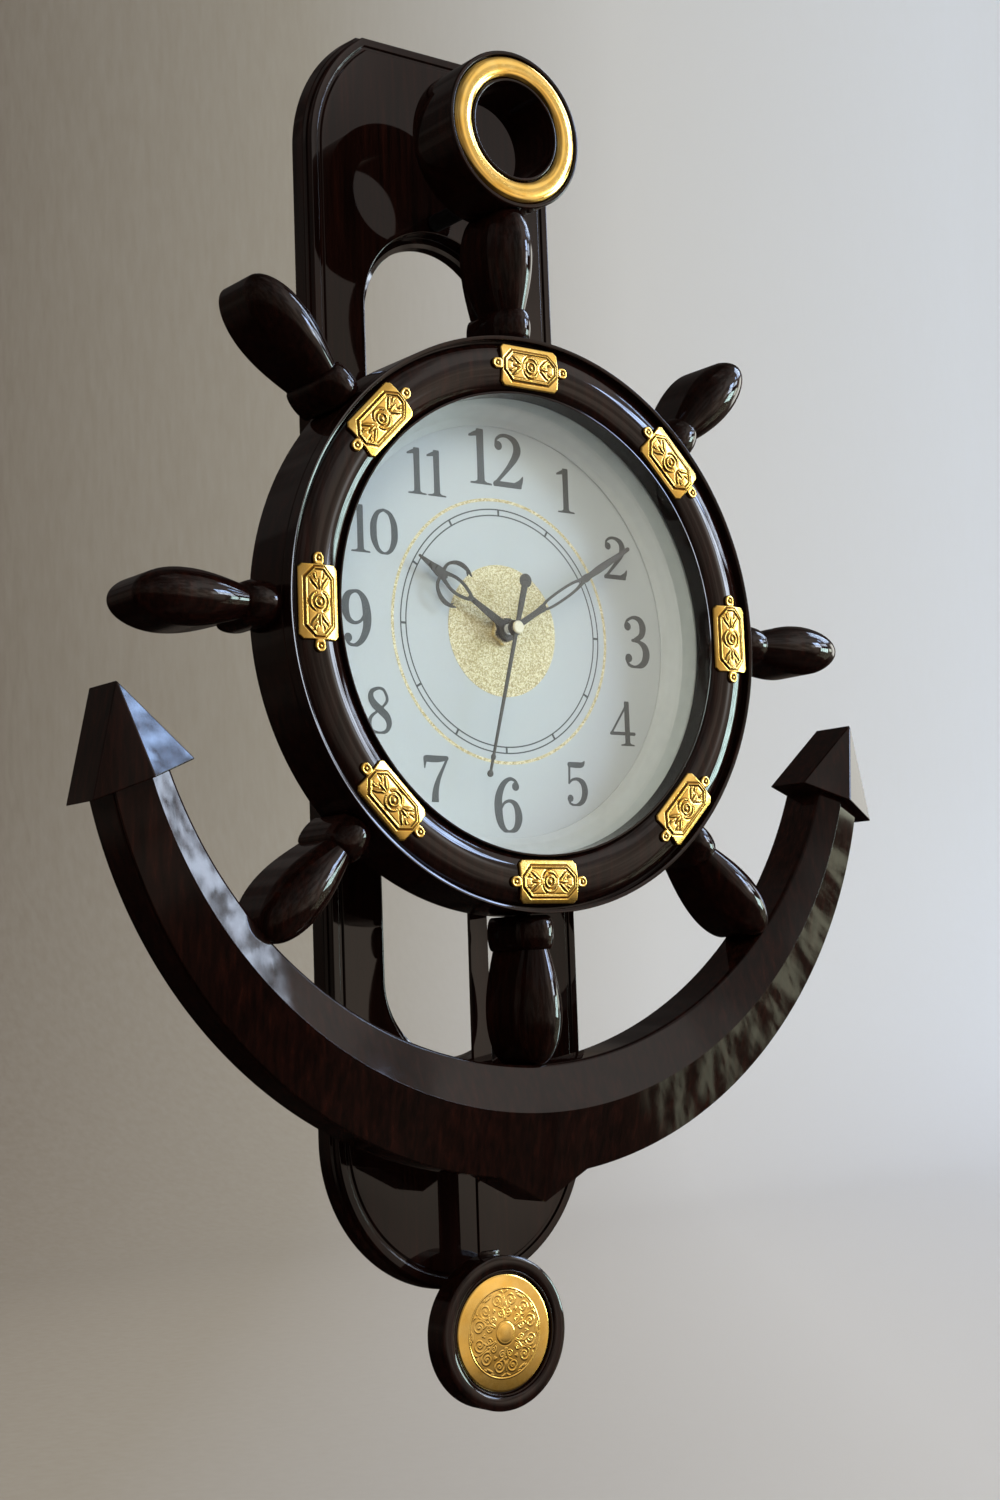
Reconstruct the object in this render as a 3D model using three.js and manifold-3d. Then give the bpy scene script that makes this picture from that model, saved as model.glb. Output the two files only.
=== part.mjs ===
// Ship wheel wall clock with a pendulum. A drum clock sits inside an eight-handled ship's wheel, the
// wheel sits in a ship's anchor, and both stand off the front of a tall slotted backboard.
//
// Millimetres. X runs to the right, Z up and Y towards the wall. The origin is the wall nail in the
// hanger plate behind the board. A value ending in Off is a distance out from the wall, so it lies at
// negative Y. A value ending in Drop is a distance down. Directions on the dial are clock angles in
// degrees, clockwise from the top as seen from the front.

import * as THREE from 'three';
import { mergeVertices } from 'three/addons/utils/BufferGeometryUtils.js';
import Module from 'manifold-3d';

const wasm = await Module();
wasm.setup();

// Common values
const gap = 0.3; // between pieces that touch
const overrun = 2; // how far a cutting tool runs past what it cuts
const weldReach = 0.0001; // points closer than this are one point
const fineSides = 192;
const roundSides = 48;
const mediumSides = 36;
const smallSides = 12;
const arcSteps = 10;
const detailSteps = 4;
const quarterTurn = Math.PI / 2;
const fullTurn = 2 * Math.PI;

// Main places
const frameBackOff = 40; // shared back plane of the drum, the handles, the anchor and its boss

// Backboard
const boardHalfWidth = 58.7;
const boardTopRise = 49; // nail up to the flat top edge
const boardFootDrop = 376.5; // nail down to the centre of the round foot
const boardFaceOff = 11;
const boardWallLean = 0.4;
const boardShoulderOff = 7;
const boardShoulderRise = 0.4;
const boardShoulderInset = 1.7;
const boardBandWidth = 3;
const boardGrooveLean = 0.5;
const boardGrooveWidth = 1;
const boardGrooveDepth = 0.8;
const slotHalfWidth = 34.5;
const slotTopDrop = 60.7; // nail down to the centre of the slot's upper round end
const slotBottomDrop = 318.4;
const slotFlangeWidth = 4.4; // step round the slot on the wall side
const slotFlangeOff = 5;

// Hanger plate, let into the board's back over a hollow for the nail's head
const hangerHalfWidth = 13;
const hangerHalfHeight = 17;
const hangerThickness = 1;
const keySlotHalfWidth = 2.3;
const keyEntryRadius = 4.5;
const keyEntryDrop = 7;
const nailHollowWall = 4;
const nailHollowOff = 6.5;

// Anchor boss above the wheel, with its convex trim ring
const bossDrop = 1.6; // nail down to the boss's centre
const bossRadius = 30.3;
const bossWidth = 11.8;
const bossBoreRadius = bossRadius - bossWidth;
const bossCrestOff = 65;
const bossRimRound = 1.8;
const trimOuterMargin = 1.9; // from the boss's rim in to the trim ring
const trimInnerMargin = 1.5; // from the boss's bore out to the trim ring
const trimOuterRadius = bossRadius - trimOuterMargin;
const trimInnerRadius = bossBoreRadius + trimInnerMargin;
const trimSeatOff = 62.6;
const trimRise = 2.8;
const bossLipWidth = 1.2;
const bossLipOff = 64;

// Posts between the board and what stands in front of it
const topPostMargin = 1.9; // from the boss's bore down to the post behind it
const topPostDrop = bossDrop + bossBoreRadius + topPostMargin;
const topPostRadius = 3.4;
const postFlangeRadius = 5.5;
const postWaistRadius = 3.6;
const postFlangeThickness = 3;
const postAcross = 44;
const postAlong = 60;

// Wheel drum, bezel, glass and dial
const wheelRadius = 106.7;
const drumWall = 2.8;
const drumFloor = 3.3;
const drumRimOff = 62;
const bezelWidth = 21.4; // from the wheel's rim in to the opening over the dial
const bezelInnerLipOff = 66.8;
const bezelLipOff = 68;
const bezelLipWidth = 1.2;
const beadInnerLedge = 0.8; // from the opening out to the bead
const beadOuterLedge = 2.2; // from the bead out to the rim
const beadBaseOff = 63.8;
const beadRise = 3.6;
const beadSteps = 6;
const glassSeatWidth = 4.7; // how far the glass goes under the bezel
const glassFrontOff = 58.6;
const glassThickness = 2;
const dialRingLedge = 6.7; // how far the pale ring round the dial stands in from the bezel's opening
const dialRingWallRise = 5.4; // its inner wall's height over the dial's face, below its slope
const dialRingCrest = 1; // how far its slope ends outside the bezel's opening
const bezelSkirtWall = 2.3;
const dialClearance = 0.9; // round the dial, inside the drum's wall
const dialFaceOff = 44.6;

// Cartouches, one at each handle, bent over the bezel's bead
const cartoucheHalfRadial = 8.1;
const cartoucheHalfLength = 13.2;
const cartoucheCorner = 1.4;
const cartoucheThickness = 0.8;
const cartoucheSag = 1.2; // how far its long edges drop from its crest
const cartoucheFrameRise = 0.8;
const cartoucheFrameHalfRadial = 6;
const cartoucheFrameHalfLength = 12;
const cartoucheFrameWidth = 1;
const cartoucheFrameChamfer = 3.6;
const lugReach = 15.3;
const lugRadius = 2.1;
const lugHoleRadius = 0.6;
const rosetteRadius = 2.2;
const leafRadial = 1.6;
const leafLength = 3;
const leafReach = 6.5;

// Handles
const handleCount = 8;
const handleEdgeOff = 57.6; // front edge of the straight side wall, where the dome starts
const handleBeadHalfWidth = 8;
const handleNeckHalfWidth = 5.8;
const handleNeckOut = 12.8; // from the wheel's rim out to the neck
const handleBulbHalfWidth = 9.9;
const handleBulbOut = 35.3; // from the wheel's rim out to the thickest place
const handleLength = 54.6;
const handleBossBite = 3.2; // how far the boss cuts the top handle's round end back
const handleArmBite = 2.3; // how far the anchor cuts the lower handles' round ends back
const handleDomeSteps = 5;
const handleNeckReach = wheelRadius + handleNeckOut;
const handleBulbReach = wheelRadius + handleBulbOut;
const handleTipReach = wheelRadius + handleLength;
const beadStationShares = [0, 0.2, 0.5, 0.8];
const swellStationShares = [0, 0.25, 0.5, 0.75, 1];
const tipStationShares = [0.35, 0.6, 0.8, 0.93, 0.99];

// Where the wheel hangs, nail down to its centre, with its top handle against the boss
const wheelDrop = bossDrop + bossRadius + handleTipReach - handleBossBite;

// Anchor arms. Each edge is an arc about a centre of its own below the wheel's centre, and ends at an
// angle in degrees from straight down.
const armInnerRadius = handleTipReach - handleArmBite;
const armInnerDrop = 1.9;
const armInnerAngle = 71;
const armOuterSpare = 14.5; // radius of the outer edge over the inner edge's
const armOuterDrop = 27.3;
const armOuterAngle = 78.5;
const armRidgeSpare = 9.4; // radius of the ridge over the inner edge's
const armRidgeDrop = 10.4;
const armRidgeAngle = 74.5;
const armEdgeOff = 59.1;
const armRiseShare = 0.19; // height of the ridge over the front edges, as a share of the arm's width
const armSteps = 14;
const crownHalfWidth = 20;
const crownPointRise = 9.1; // crown's point below the outer edge's arc

// Flukes. Their corners lie out from the arm's inner edge or in from it, at angles in degrees from
// straight down.
const flukeTipReach = 11.5;
const flukeTipAngle = 80.58;
const flukeInnerBarbInset = 9.76;
const flukeInnerBarbAngle = 69.4;
const flukeOuterBarbReach = 30.71;
const flukeOuterBarbAngle = 69.16;
const flukeRidgeShare = 0.5; // place of the ridge's foot between the two barbs
const flukeRidgeOff = 66.8;

// Movement housing, behind the drum
const caseTopRise = 35; // from the wheel's centre
const caseBottomDrop = 42;
const caseBackOff = 24.5;
const caseWall = 1.2;
const coverThickness = 1.5;
const bayFloorRise = 16.3; // underside of the battery bay's lower wall
const bayBackOff = 22.8;
const bushRadius = 4;
const bushBoreRadius = 2.4;
const bushEndOff = 47.8;
const casePostRadius = 1.5;
const batteryRadius = 7.25;
const batteryHalfLength = 24.6;
const batteryNubRadius = 2.7;
const batteryNubLength = 1.2;
const batteryRise = 25.5;
const contactThickness = 0.5;
const contactWidth = 6;
const contactLeadWidth = 3;
const contactClearance = 0.2; // behind a contact, to the case's side
const contactReach = batteryHalfLength + batteryNubLength + gap + contactThickness;
const caseHalfWidth = contactReach + contactClearance + caseWall;

// Nut and the arbors that carry the hands
const nutAcrossFlats = 10.4;
const nutThickness = 2.1;
const nutSides = 6;
const secondsArborRadius = 0.5;
const minuteTubeBore = 0.8;
const minuteTubeRadius = 1.3;
const hourTubeBore = 1.6;
const hourTubeRadius = 2.1;
const smallArborRadius = 0.5;

// Gear train. Each pair meshes at the distance of its two pitch radii.
const rotorTeeth = 6;
const intermediateTeeth = 36;
const intermediatePinionTeeth = 6;
const secondsTeeth = 30;
const secondsPinionTeeth = 6;
const thirdTeeth = 45;
const thirdPinionTeeth = 6;
const centreTeeth = 48;
const cannonTeeth = 8;
const minuteTeeth = 24;
const minutePinionTeeth = 6;
const hourTeeth = 24;
const trainModule = 0.3;
const motionModule = 0.5;
const toothTipShare = 0.62; // tooth height over the pitch circle, in modules
const toothRootShare = 0.95; // tooth depth under the pitch circle, in modules
const valleyShare = 0.5; // place of the valley between two teeth, as a share of their pitch
const toothTipHalfShare = 0.06; // half a tooth's width at its tip, as a share of one tooth and gap
const wheelThickness = 0.8;
const pinionSpare = 0.4; // how far a pinion stands past both faces of its wheel
const intermediateDirection = 235;
const thirdDirection = 45;
const minuteDirection = 135;
const arborFootOff = 26;
const intermediateOff = 27;
const secondsOff = 29;
const thirdOff = 31;
const centreOff = 33.4;
const minuteOff = 35;
const hourOff = 36.8;
const rotorMagnetRadius = 3.2;
const rotorMagnetOff = 30.6;
const rotorMagnetLength = 3.4;

// Motor and circuit
const statorOff = 31.6;
const statorThickness = 1;
const statorSideClearance = 1.8; // to the case's left side
const statorLeftReach = caseHalfWidth - caseWall - statorSideClearance;
const statorRightReach = 3.5;
const statorTopDrop = 0.8;
const statorLegWidth = 4;
const statorWindowTopDrop = 13.4;
const coreDrop = 21;
const coreHalfHeight = 1.5;
const coilRadius = 4.6;
const coilFlange = 0.8;
const coilFlangeThickness = 0.8;
const boardCircuitThickness = 1;
const circuitSideClearance = 2.3; // to the case's right side
const circuitWidth = 14.5;
const circuitRight = caseHalfWidth - caseWall - circuitSideClearance;
const circuitLeft = circuitRight - circuitWidth;
const circuitTopDrop = 14;
const circuitBottomDrop = 38;
const chipHalf = 3;
const chipThickness = 1.6;
const driveCoilDrop = 34;
const driveCoilRadius = 5;
const driveCoilLength = 6;

// Setting knob, pendulum pivot and hanger
const knobRadius = 4.5;
const knobThickness = 2.4;
const knobGrooves = 8;
const knobGrooveRadius = 0.5;
const knobStemRadius = 1;
const pivotDrop = 28; // wheel's centre down to the pendulum's pivot
const pivotRadius = 2;
const pivotHeadOff = 19.6;
const hangerPlateThickness = 1.7;
const hangerPlateOff = 20.3;
const hangerEyeRadius = 4.6;
const hangerArmHalfWidth = 2.6;
const hangerHookDrop = 16;
const hangerHookRadius = 1.3;

// Pendulum, measured from its pivot
const rodBackOff = 22.4;
const rodThickness = 1.6;
const rodTopHalfWidth = 3.8;
const rodBottomHalfWidth = 4.5;
const rodTongueHalfWidth = 2;
const rodTongueLength = 6;
const bobDrop = 230.7;
const bobRadius = 27.9;
const bobBackOff = 19.4;
const bobFrontOff = 32.4;
const bobBackRound = 2.4;
const bobFaceOff = 30.2;
const bobRound = 2;
const medallionRadius = 21.2;
const medallionEdge = 0.6;
const medallionRise = 1.5;
const medallionRingRadius = 16.4;
const medallionRingHalfWidth = 0.8;
const medallionRingRise = 0.5;
const medallionButtonRadius = 4.3;
const medallionButtonRise = 0.9;

// Hands
const hourHandOff = 48.2;
const minuteHandOff = 52;
const secondHandOff = 53.4;
const handThickness = 0.5;
const hubCapThickness = 0.7;
const hourDirection = 302;
const minuteDirectionOfHand = 58.4;
const secondDirection = 195;
const hourHubRadius = 4.2;
const minuteHubRadius = 3;
const secondHubRadius = 2.2;
const hubCapRadius = 2.45;
const stemHalfWidth = 1.1;
const hourReach = 47.3;
const hourLoopStart = 18;
const hourLoopEnd = 31;
const hourLoopHalfWidth = 3.2;
const minuteReach = 67.5;
const minuteLoopStart = 15;
const minuteLoopEnd = 41;
const minuteLoopHalfWidth = 3;
const loopBandWidth = 1.1;
const hookReach = 28.4;
const hookSpread = 4.3;
const hookOuterRadius = 4.6;
const hookInnerRadius = 3.2;
const hookStart = 146; // degrees, from the side towards the tip
const hookEnd = -52;
const spearHalfWidth = 1.9;
const spearNeckHalfWidth = 1.2;
const spearShoulder = 3.5; // spear's widest place past the loop
const secondReach = 58.3;
const secondHalfWidth = 0.6;
const secondBeadInset = 7.8; // from the tip in to the bead
const secondBeadReach = secondReach - secondBeadInset;
const secondBeadRadius = 1.4;
const secondTailReach = 18.7;
const secondTailHalfWidth = 1.2;
const secondTailRadius = 2.5;

// Materials
function finish(color, roughness, metalness) {
  return new THREE.MeshStandardMaterial({ color, roughness, metalness });
}

const lacquer = finish(0x1b0f0c, 0.2, 0);
const gold = finish(0xc8963c, 0.35, 1);
const handMetal = finish(0x3f3a31, 0.4, 0.8);
const steel = finish(0xb4b6b8, 0.35, 1);
const brass = finish(0xb8944a, 0.35, 1);
const clearGlass = finish(0xf2f6f6, 0.05, 0);
const dialPaper = finish(0xd9d6cc, 0.7, 0);
const blackPlastic = finish(0x16161a, 0.5, 0);
const whitePlastic = finish(0xe8e6e0, 0.5, 0);
const copper = finish(0xb06a3c, 0.4, 1);
const circuitGreen = finish(0x1f5a36, 0.6, 0);
const batteryJacket = finish(0x3a3d44, 0.45, 0);

// Angles and places

function radians(degrees) {
  return THREE.MathUtils.degToRad(degrees);
}

// The point [x, z] at a distance from the centre in a clock direction.
function around(distance, direction) {
  return [distance * Math.sin(radians(direction)), distance * Math.cos(radians(direction))];
}

// Solids. All of them are drawn as seen from the front, in X and Z.

// A flat outline made solid between two distances out from the wall.
function plate(outline, near, far, steps = arcSteps) {
  const geometry = new THREE.ExtrudeGeometry(outline, {
    depth: far - near,
    bevelEnabled: false,
    curveSegments: steps,
  });
  geometry.rotateX(quarterTurn);
  geometry.translate(0, -near, 0);
  return geometry;
}

function block(left, right, near, far, low, high) {
  const geometry = new THREE.BoxGeometry(right - left, far - near, high - low);
  geometry.translate((left + right) / 2, -(near + far) / 2, (low + high) / 2);
  return geometry;
}

// A solid turned about the Y axis through a profile of [radius, off] points.
function turned(profile, sides = roundSides) {
  const points = profile.map(([radius, off]) => new THREE.Vector2(radius, -off));
  if (THREE.ShapeUtils.area(points) < 0) points.reverse();
  if (profile.every(([radius]) => radius > 0)) points.push(points[0].clone());
  return new THREE.LatheGeometry(points, sides);
}

function disc(radius, near, far, sides = roundSides) {
  return turned([[0, near], [radius, near], [radius, far], [0, far]], sides);
}

function tube(inner, outer, near, far, sides = smallSides) {
  return turned([[inner, near], [outer, near], [outer, far], [inner, far]], sides);
}

// A closed solid through rings of points that all run the same way round, capped by fans.
function skin(rings) {
  const count = rings[0].length;
  const last = (rings.length - 1) * count;
  const index = [];
  for (let ring = 0; ring < last; ring += count) {
    for (let place = 0; place < count; place += 1) {
      const here = ring + place;
      const next = ring + ((place + 1) % count);
      index.push(here, next, next + count, here, next + count, here + count);
    }
  }
  for (let place = 1; place < count - 1; place += 1) {
    index.push(0, place + 1, place);
    index.push(last, last + place, last + place + 1);
  }
  const points = rings.flat();
  if (signedVolume(points, index) < 0) index.reverse();
  const geometry = new THREE.BufferGeometry();
  geometry.setAttribute('position', new THREE.Float32BufferAttribute(points.flat(), 3));
  geometry.setIndex(index);
  geometry.computeVertexNormals();
  return geometry;
}

function signedVolume(points, index) {
  const [a, b, c] = [new THREE.Vector3(), new THREE.Vector3(), new THREE.Vector3()];
  let sum = 0;
  for (let corner = 0; corner < index.length; corner += 3) {
    a.fromArray(points[index[corner]]);
    b.fromArray(points[index[corner + 1]]);
    c.fromArray(points[index[corner + 2]]);
    sum += a.dot(b.cross(c));
  }
  return sum;
}

// Joining and cutting

function toSolid(geometry) {
  const bare = new THREE.BufferGeometry();
  bare.setAttribute('position', geometry.getAttribute('position').clone());
  if (geometry.index) bare.setIndex(geometry.index.clone());
  const welded = mergeVertices(bare, weldReach);
  const corners = welded.index.array;
  const triangles = [];
  for (let corner = 0; corner < corners.length; corner += 3) {
    const [a, b, c] = corners.slice(corner, corner + 3);
    if (a !== b && b !== c && c !== a) triangles.push(a, b, c);
  }
  return new wasm.Manifold(new wasm.Mesh({
    numProp: 3,
    vertProperties: new Float32Array(welded.getAttribute('position').array),
    triVerts: new Uint32Array(triangles),
  }));
}

function fromSolid(solid) {
  const mesh = solid.getMesh();
  const geometry = new THREE.BufferGeometry();
  geometry.setAttribute('position', new THREE.Float32BufferAttribute(mesh.vertProperties, 3));
  geometry.setIndex(Array.from(mesh.triVerts));
  geometry.computeVertexNormals();
  return geometry;
}

function join(...geometries) {
  return fromSolid(geometries.map(toSolid).reduce((sum, next) => sum.add(next)));
}

function cut(geometry, ...tools) {
  return fromSolid(tools.map(toSolid).reduce((rest, tool) => rest.subtract(tool), toSolid(geometry)));
}

function within(geometry, limit) {
  return fromSolid(toSolid(geometry).intersect(toSolid(limit)));
}

// Outlines

function rectangle(left, right, low, high) {
  const shape = new THREE.Shape();
  shape.moveTo(left, low);
  shape.lineTo(right, low);
  shape.lineTo(right, high);
  shape.lineTo(left, high);
  shape.closePath();
  return shape;
}

function polygon(points) {
  return new THREE.Shape(points.map(([x, z]) => new THREE.Vector2(x, z)));
}

// A rectangle with its four corners cut off, lying crosswise at a height.
function chamfered(halfLength, halfHeight, corner, height) {
  return polygon([
    [-halfLength + corner, height - halfHeight],
    [halfLength - corner, height - halfHeight],
    [halfLength, height - halfHeight + corner],
    [halfLength, height + halfHeight - corner],
    [halfLength - corner, height + halfHeight],
    [-halfLength + corner, height + halfHeight],
    [-halfLength, height + halfHeight - corner],
    [-halfLength, height - halfHeight + corner],
  ]);
}

// A long hole or lens with round ends at two heights.
function stadium(half, low, high) {
  const shape = new THREE.Shape();
  shape.absarc(0, high, half, 0, Math.PI, false);
  shape.absarc(0, low, half, Math.PI, fullTurn, false);
  shape.closePath();
  return shape;
}

function ovalDisc(x, z, halfX, halfZ) {
  const shape = new THREE.Shape();
  shape.absellipse(x, z, halfX, halfZ, 0, fullTurn, false, 0);
  return shape;
}

// Naming and placing

const clock = new THREE.Group();
const wheel = new THREE.Group();
wheel.position.z = -wheelDrop;
const pendulum = new THREE.Group();
pendulum.position.z = -wheelDrop - pivotDrop;
clock.add(wheel, pendulum);

function piece(parent, name, geometry, material) {
  const mesh = new THREE.Mesh(geometry, material);
  mesh.name = name;
  parent.add(mesh);
  return mesh;
}

// Backboard: a stepped outline with a slot, and a seat for the hanger plate in its back

function boardRing(inset, off) {
  const half = boardHalfWidth - inset;
  const topTurn = Math.asin((boardTopRise - inset) / half);
  const ring = [];
  for (let step = 0; step <= 2 * arcSteps; step += 1) {
    const turn = Math.PI + (Math.PI * step) / (2 * arcSteps);
    ring.push([half * Math.cos(turn), -off, half * Math.sin(turn) - boardFootDrop]);
  }
  for (const side of [1, -1]) {
    for (let step = 0; step <= arcSteps; step += 1) {
      const turn = (topTurn * (side > 0 ? step : arcSteps - step)) / arcSteps;
      ring.push([side * half * Math.cos(turn), -off, half * Math.sin(turn)]);
    }
  }
  return ring;
}

function slotTool(half, near, far) {
  return plate(stadium(half, -slotBottomDrop, -slotTopDrop), near, far);
}

const bandInset = boardShoulderInset + boardBandWidth;
const grooveInset = bandInset + boardGrooveLean;
const faceInset = grooveInset + boardGrooveWidth + boardGrooveLean;
const grooveOff = boardFaceOff - boardGrooveDepth;
const boardBody = skin([
  boardRing(0, 0),
  boardRing(boardWallLean, boardShoulderOff),
  boardRing(boardShoulderInset, boardShoulderOff + boardShoulderRise),
  boardRing(boardShoulderInset, boardFaceOff),
  boardRing(bandInset, boardFaceOff),
  boardRing(grooveInset, grooveOff),
  boardRing(grooveInset + boardGrooveWidth, grooveOff),
  boardRing(faceInset, boardFaceOff),
]);
const hangerSeatOff = hangerThickness + gap;
const hollowHalfWidth = hangerHalfWidth - nailHollowWall;
const hollowHalfHeight = hangerHalfHeight - nailHollowWall;

piece(clock, 'backboard', cut(
  boardBody,
  slotTool(slotHalfWidth, slotFlangeOff, boardFaceOff + overrun),
  slotTool(slotHalfWidth - slotFlangeWidth, -overrun, boardFaceOff + overrun),
  block(
    -hangerHalfWidth - gap,
    hangerHalfWidth + gap,
    -overrun,
    hangerSeatOff,
    -hangerHalfHeight - gap,
    hangerHalfHeight + gap,
  ),
  block(-hollowHalfWidth, hollowHalfWidth, -overrun, nailHollowOff, -hollowHalfHeight, hollowHalfHeight),
), lacquer);

// Hanger plate: a keyhole whose narrow round end rests on the nail at the origin

function hangerPlate() {
  const outline = rectangle(-hangerHalfWidth, hangerHalfWidth, -hangerHalfHeight, hangerHalfHeight);
  const keyhole = new THREE.Path();
  const meeting = Math.acos(keySlotHalfWidth / keyEntryRadius);
  keyhole.absarc(0, 0, keySlotHalfWidth, 0, Math.PI, false);
  keyhole.absarc(0, -keyEntryDrop, keyEntryRadius, Math.PI - meeting, fullTurn + meeting, false);
  keyhole.closePath();
  outline.holes.push(keyhole);
  return plate(outline, 0, hangerThickness);
}

piece(clock, 'hanger_plate', hangerPlate(), steel);

// Boss: the anchor's ring, with a seat for the trim ring and a lip round its bore

const bossProfile = [
  [bossBoreRadius, frameBackOff],
  [bossRadius, frameBackOff],
  [bossRadius, bossCrestOff - bossRimRound],
  [bossRadius - bossRimRound / 2, bossCrestOff - bossRimRound / 4],
  [trimOuterRadius + gap, bossCrestOff],
  [trimOuterRadius + gap, trimSeatOff],
  [trimInnerRadius - gap, trimSeatOff],
  [trimInnerRadius - gap, bossLipOff],
  [bossBoreRadius + bossLipWidth / 4, bossLipOff],
  [bossBoreRadius, bossLipOff - bossLipWidth / 2],
];
piece(clock, 'boss', turned(bossProfile, mediumSides), lacquer).position.z = -bossDrop;

function domedRing(inner, outer, near, edge, rise, steps) {
  const middle = (inner + outer) / 2;
  const half = (outer - inner) / 2;
  const profile = [[inner, near], [outer, near]];
  for (let step = 0; step <= steps; step += 1) {
    const turn = (Math.PI * step) / steps;
    profile.push([middle + half * Math.cos(turn), near + edge + (rise - edge) * Math.sin(turn)]);
  }
  return profile;
}

const trimOff = trimSeatOff + gap;
const trimProfile = domedRing(trimInnerRadius, trimOuterRadius, trimOff, trimRise / 4, trimRise, beadSteps);
piece(clock, 'boss_trim_ring', turned(trimProfile, mediumSides), gold).position.z = -bossDrop;

// Posts

const postNear = boardFaceOff + gap;
const postFar = frameBackOff - gap;

const topPost = disc(topPostRadius, postNear, postFar, smallSides);
piece(clock, 'top_standoff', topPost, blackPlastic).position.z = -topPostDrop;

const postProfile = [
  [0, postNear],
  [postFlangeRadius, postNear],
  [postFlangeRadius, postNear + postFlangeThickness],
  [postWaistRadius, postNear + postFlangeThickness],
  [postWaistRadius, postFar - postFlangeThickness],
  [postFlangeRadius, postFar - postFlangeThickness],
  [postFlangeRadius, postFar],
  [0, postFar],
];
const postPlaces = [
  ['wheel_standoff_upper_left', -postAcross, postAlong],
  ['wheel_standoff_upper_right', postAcross, postAlong],
  ['wheel_standoff_lower_left', -postAcross, -postAlong],
  ['wheel_standoff_lower_right', postAcross, -postAlong],
];
for (const [name, x, z] of postPlaces) {
  piece(wheel, name, turned(postProfile, smallSides), blackPlastic).position.set(x, 0, z);
}

// Drum, bezel, glass, dial and the pale ring between dial and glass

const bezelInnerRadius = wheelRadius - bezelWidth;
const beadInnerRadius = bezelInnerRadius + beadInnerLedge;
const beadOuterRadius = wheelRadius - beadOuterLedge;
const glassRadius = bezelInnerRadius + glassSeatWidth;
const dialRadius = wheelRadius - drumWall - dialClearance;
const drumFloorOff = frameBackOff + drumFloor;
const bushHoleRadius = bushRadius + gap;
piece(wheel, 'wheel_drum', turned([
  [bushHoleRadius, frameBackOff],
  [wheelRadius, frameBackOff],
  [wheelRadius, drumRimOff],
  [wheelRadius - drumWall, drumRimOff],
  [wheelRadius - drumWall, drumFloorOff],
  [bushHoleRadius, drumFloorOff],
]), lacquer);

const beadMiddle = (beadInnerRadius + beadOuterRadius) / 2;
const beadHalf = (beadOuterRadius - beadInnerRadius) / 2;
const beadCrestOff = beadBaseOff + beadRise;
const glassSeatOff = glassFrontOff + gap;
const bezelBackOff = drumRimOff + gap;
const skirtBackOff = glassFrontOff - glassThickness;
const skirtRadius = glassRadius + gap + bezelSkirtWall;

function bezelProfile() {
  const profile = [[bezelInnerRadius, glassSeatOff], [bezelInnerRadius, bezelInnerLipOff]];
  profile.push([beadInnerRadius, bezelInnerLipOff]);
  for (let step = 0; step <= beadSteps; step += 1) {
    const turn = (Math.PI * step) / beadSteps;
    profile.push([beadMiddle - beadHalf * Math.cos(turn), beadBaseOff + beadRise * Math.sin(turn)]);
  }
  profile.push([wheelRadius - bezelLipWidth, bezelLipOff], [wheelRadius, bezelLipOff]);
  profile.push([wheelRadius, bezelBackOff], [skirtRadius, bezelBackOff], [skirtRadius, skirtBackOff]);
  profile.push([glassRadius + gap, skirtBackOff], [glassRadius + gap, glassSeatOff]);
  return profile;
}

piece(wheel, 'bezel', turned(bezelProfile()), lacquer);
piece(wheel, 'glass', disc(glassRadius, glassFrontOff - glassThickness, glassFrontOff), clearGlass);
const dialSheet = tube(bushHoleRadius, dialRadius, drumFloorOff + gap, dialFaceOff, roundSides);
piece(wheel, 'dial', dialSheet, dialPaper);

const dialRingOff = dialFaceOff + gap;
const dialRingFrontOff = skirtBackOff - gap;
const dialRingInnerRadius = bezelInnerRadius - dialRingLedge;
piece(wheel, 'dial_ring', turned([
  [dialRingInnerRadius, dialRingOff],
  [glassRadius, dialRingOff],
  [glassRadius, dialRingFrontOff],
  [bezelInnerRadius + dialRingCrest, dialRingFrontOff],
  [dialRingInnerRadius, dialFaceOff + dialRingWallRise],
]), whitePlastic);

// Cartouches: an ornamental plate with a raised eight-sided frame, rosette and leaves, pinned at two lugs

const cartoucheReach = lugReach + lugRadius + overrun;

// Part of a shell that lies over the bead, from one height over the plate's underside to another.
function cartoucheShell(low, high) {
  const section = [];
  const under = beadCrestOff + gap;
  for (const height of [low, high]) {
    for (let step = -2; step <= 2; step += 1) {
      const share = (height === low ? step : -step) / 2;
      const drop = cartoucheSag * share * share;
      section.push([share * (cartoucheHalfRadial + gap), under + height - drop]);
    }
  }
  const ends = [-cartoucheReach, cartoucheReach];
  return skin(ends.map((x) => section.map(([radial, off]) => [x, -off, beadMiddle + radial])));
}

function cartoucheRelief() {
  const frame = chamfered(
    cartoucheFrameHalfLength,
    cartoucheFrameHalfRadial,
    cartoucheFrameChamfer,
    beadMiddle,
  );
  frame.holes.push(chamfered(
    cartoucheFrameHalfLength - cartoucheFrameWidth,
    cartoucheFrameHalfRadial - cartoucheFrameWidth,
    cartoucheFrameChamfer,
    beadMiddle,
  ));
  const near = beadBaseOff;
  const far = beadCrestOff + cartoucheThickness + cartoucheFrameRise + overrun;
  const relief = [plate(frame, near, far)];
  relief.push(plate(ovalDisc(0, beadMiddle, rosetteRadius, rosetteRadius), near, far, detailSteps));
  for (const side of [-1, 1]) {
    const leaf = ovalDisc(side * leafReach, beadMiddle, leafLength, leafRadial);
    relief.push(plate(leaf, near, far, detailSteps));
  }
  return join(...relief);
}

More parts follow.
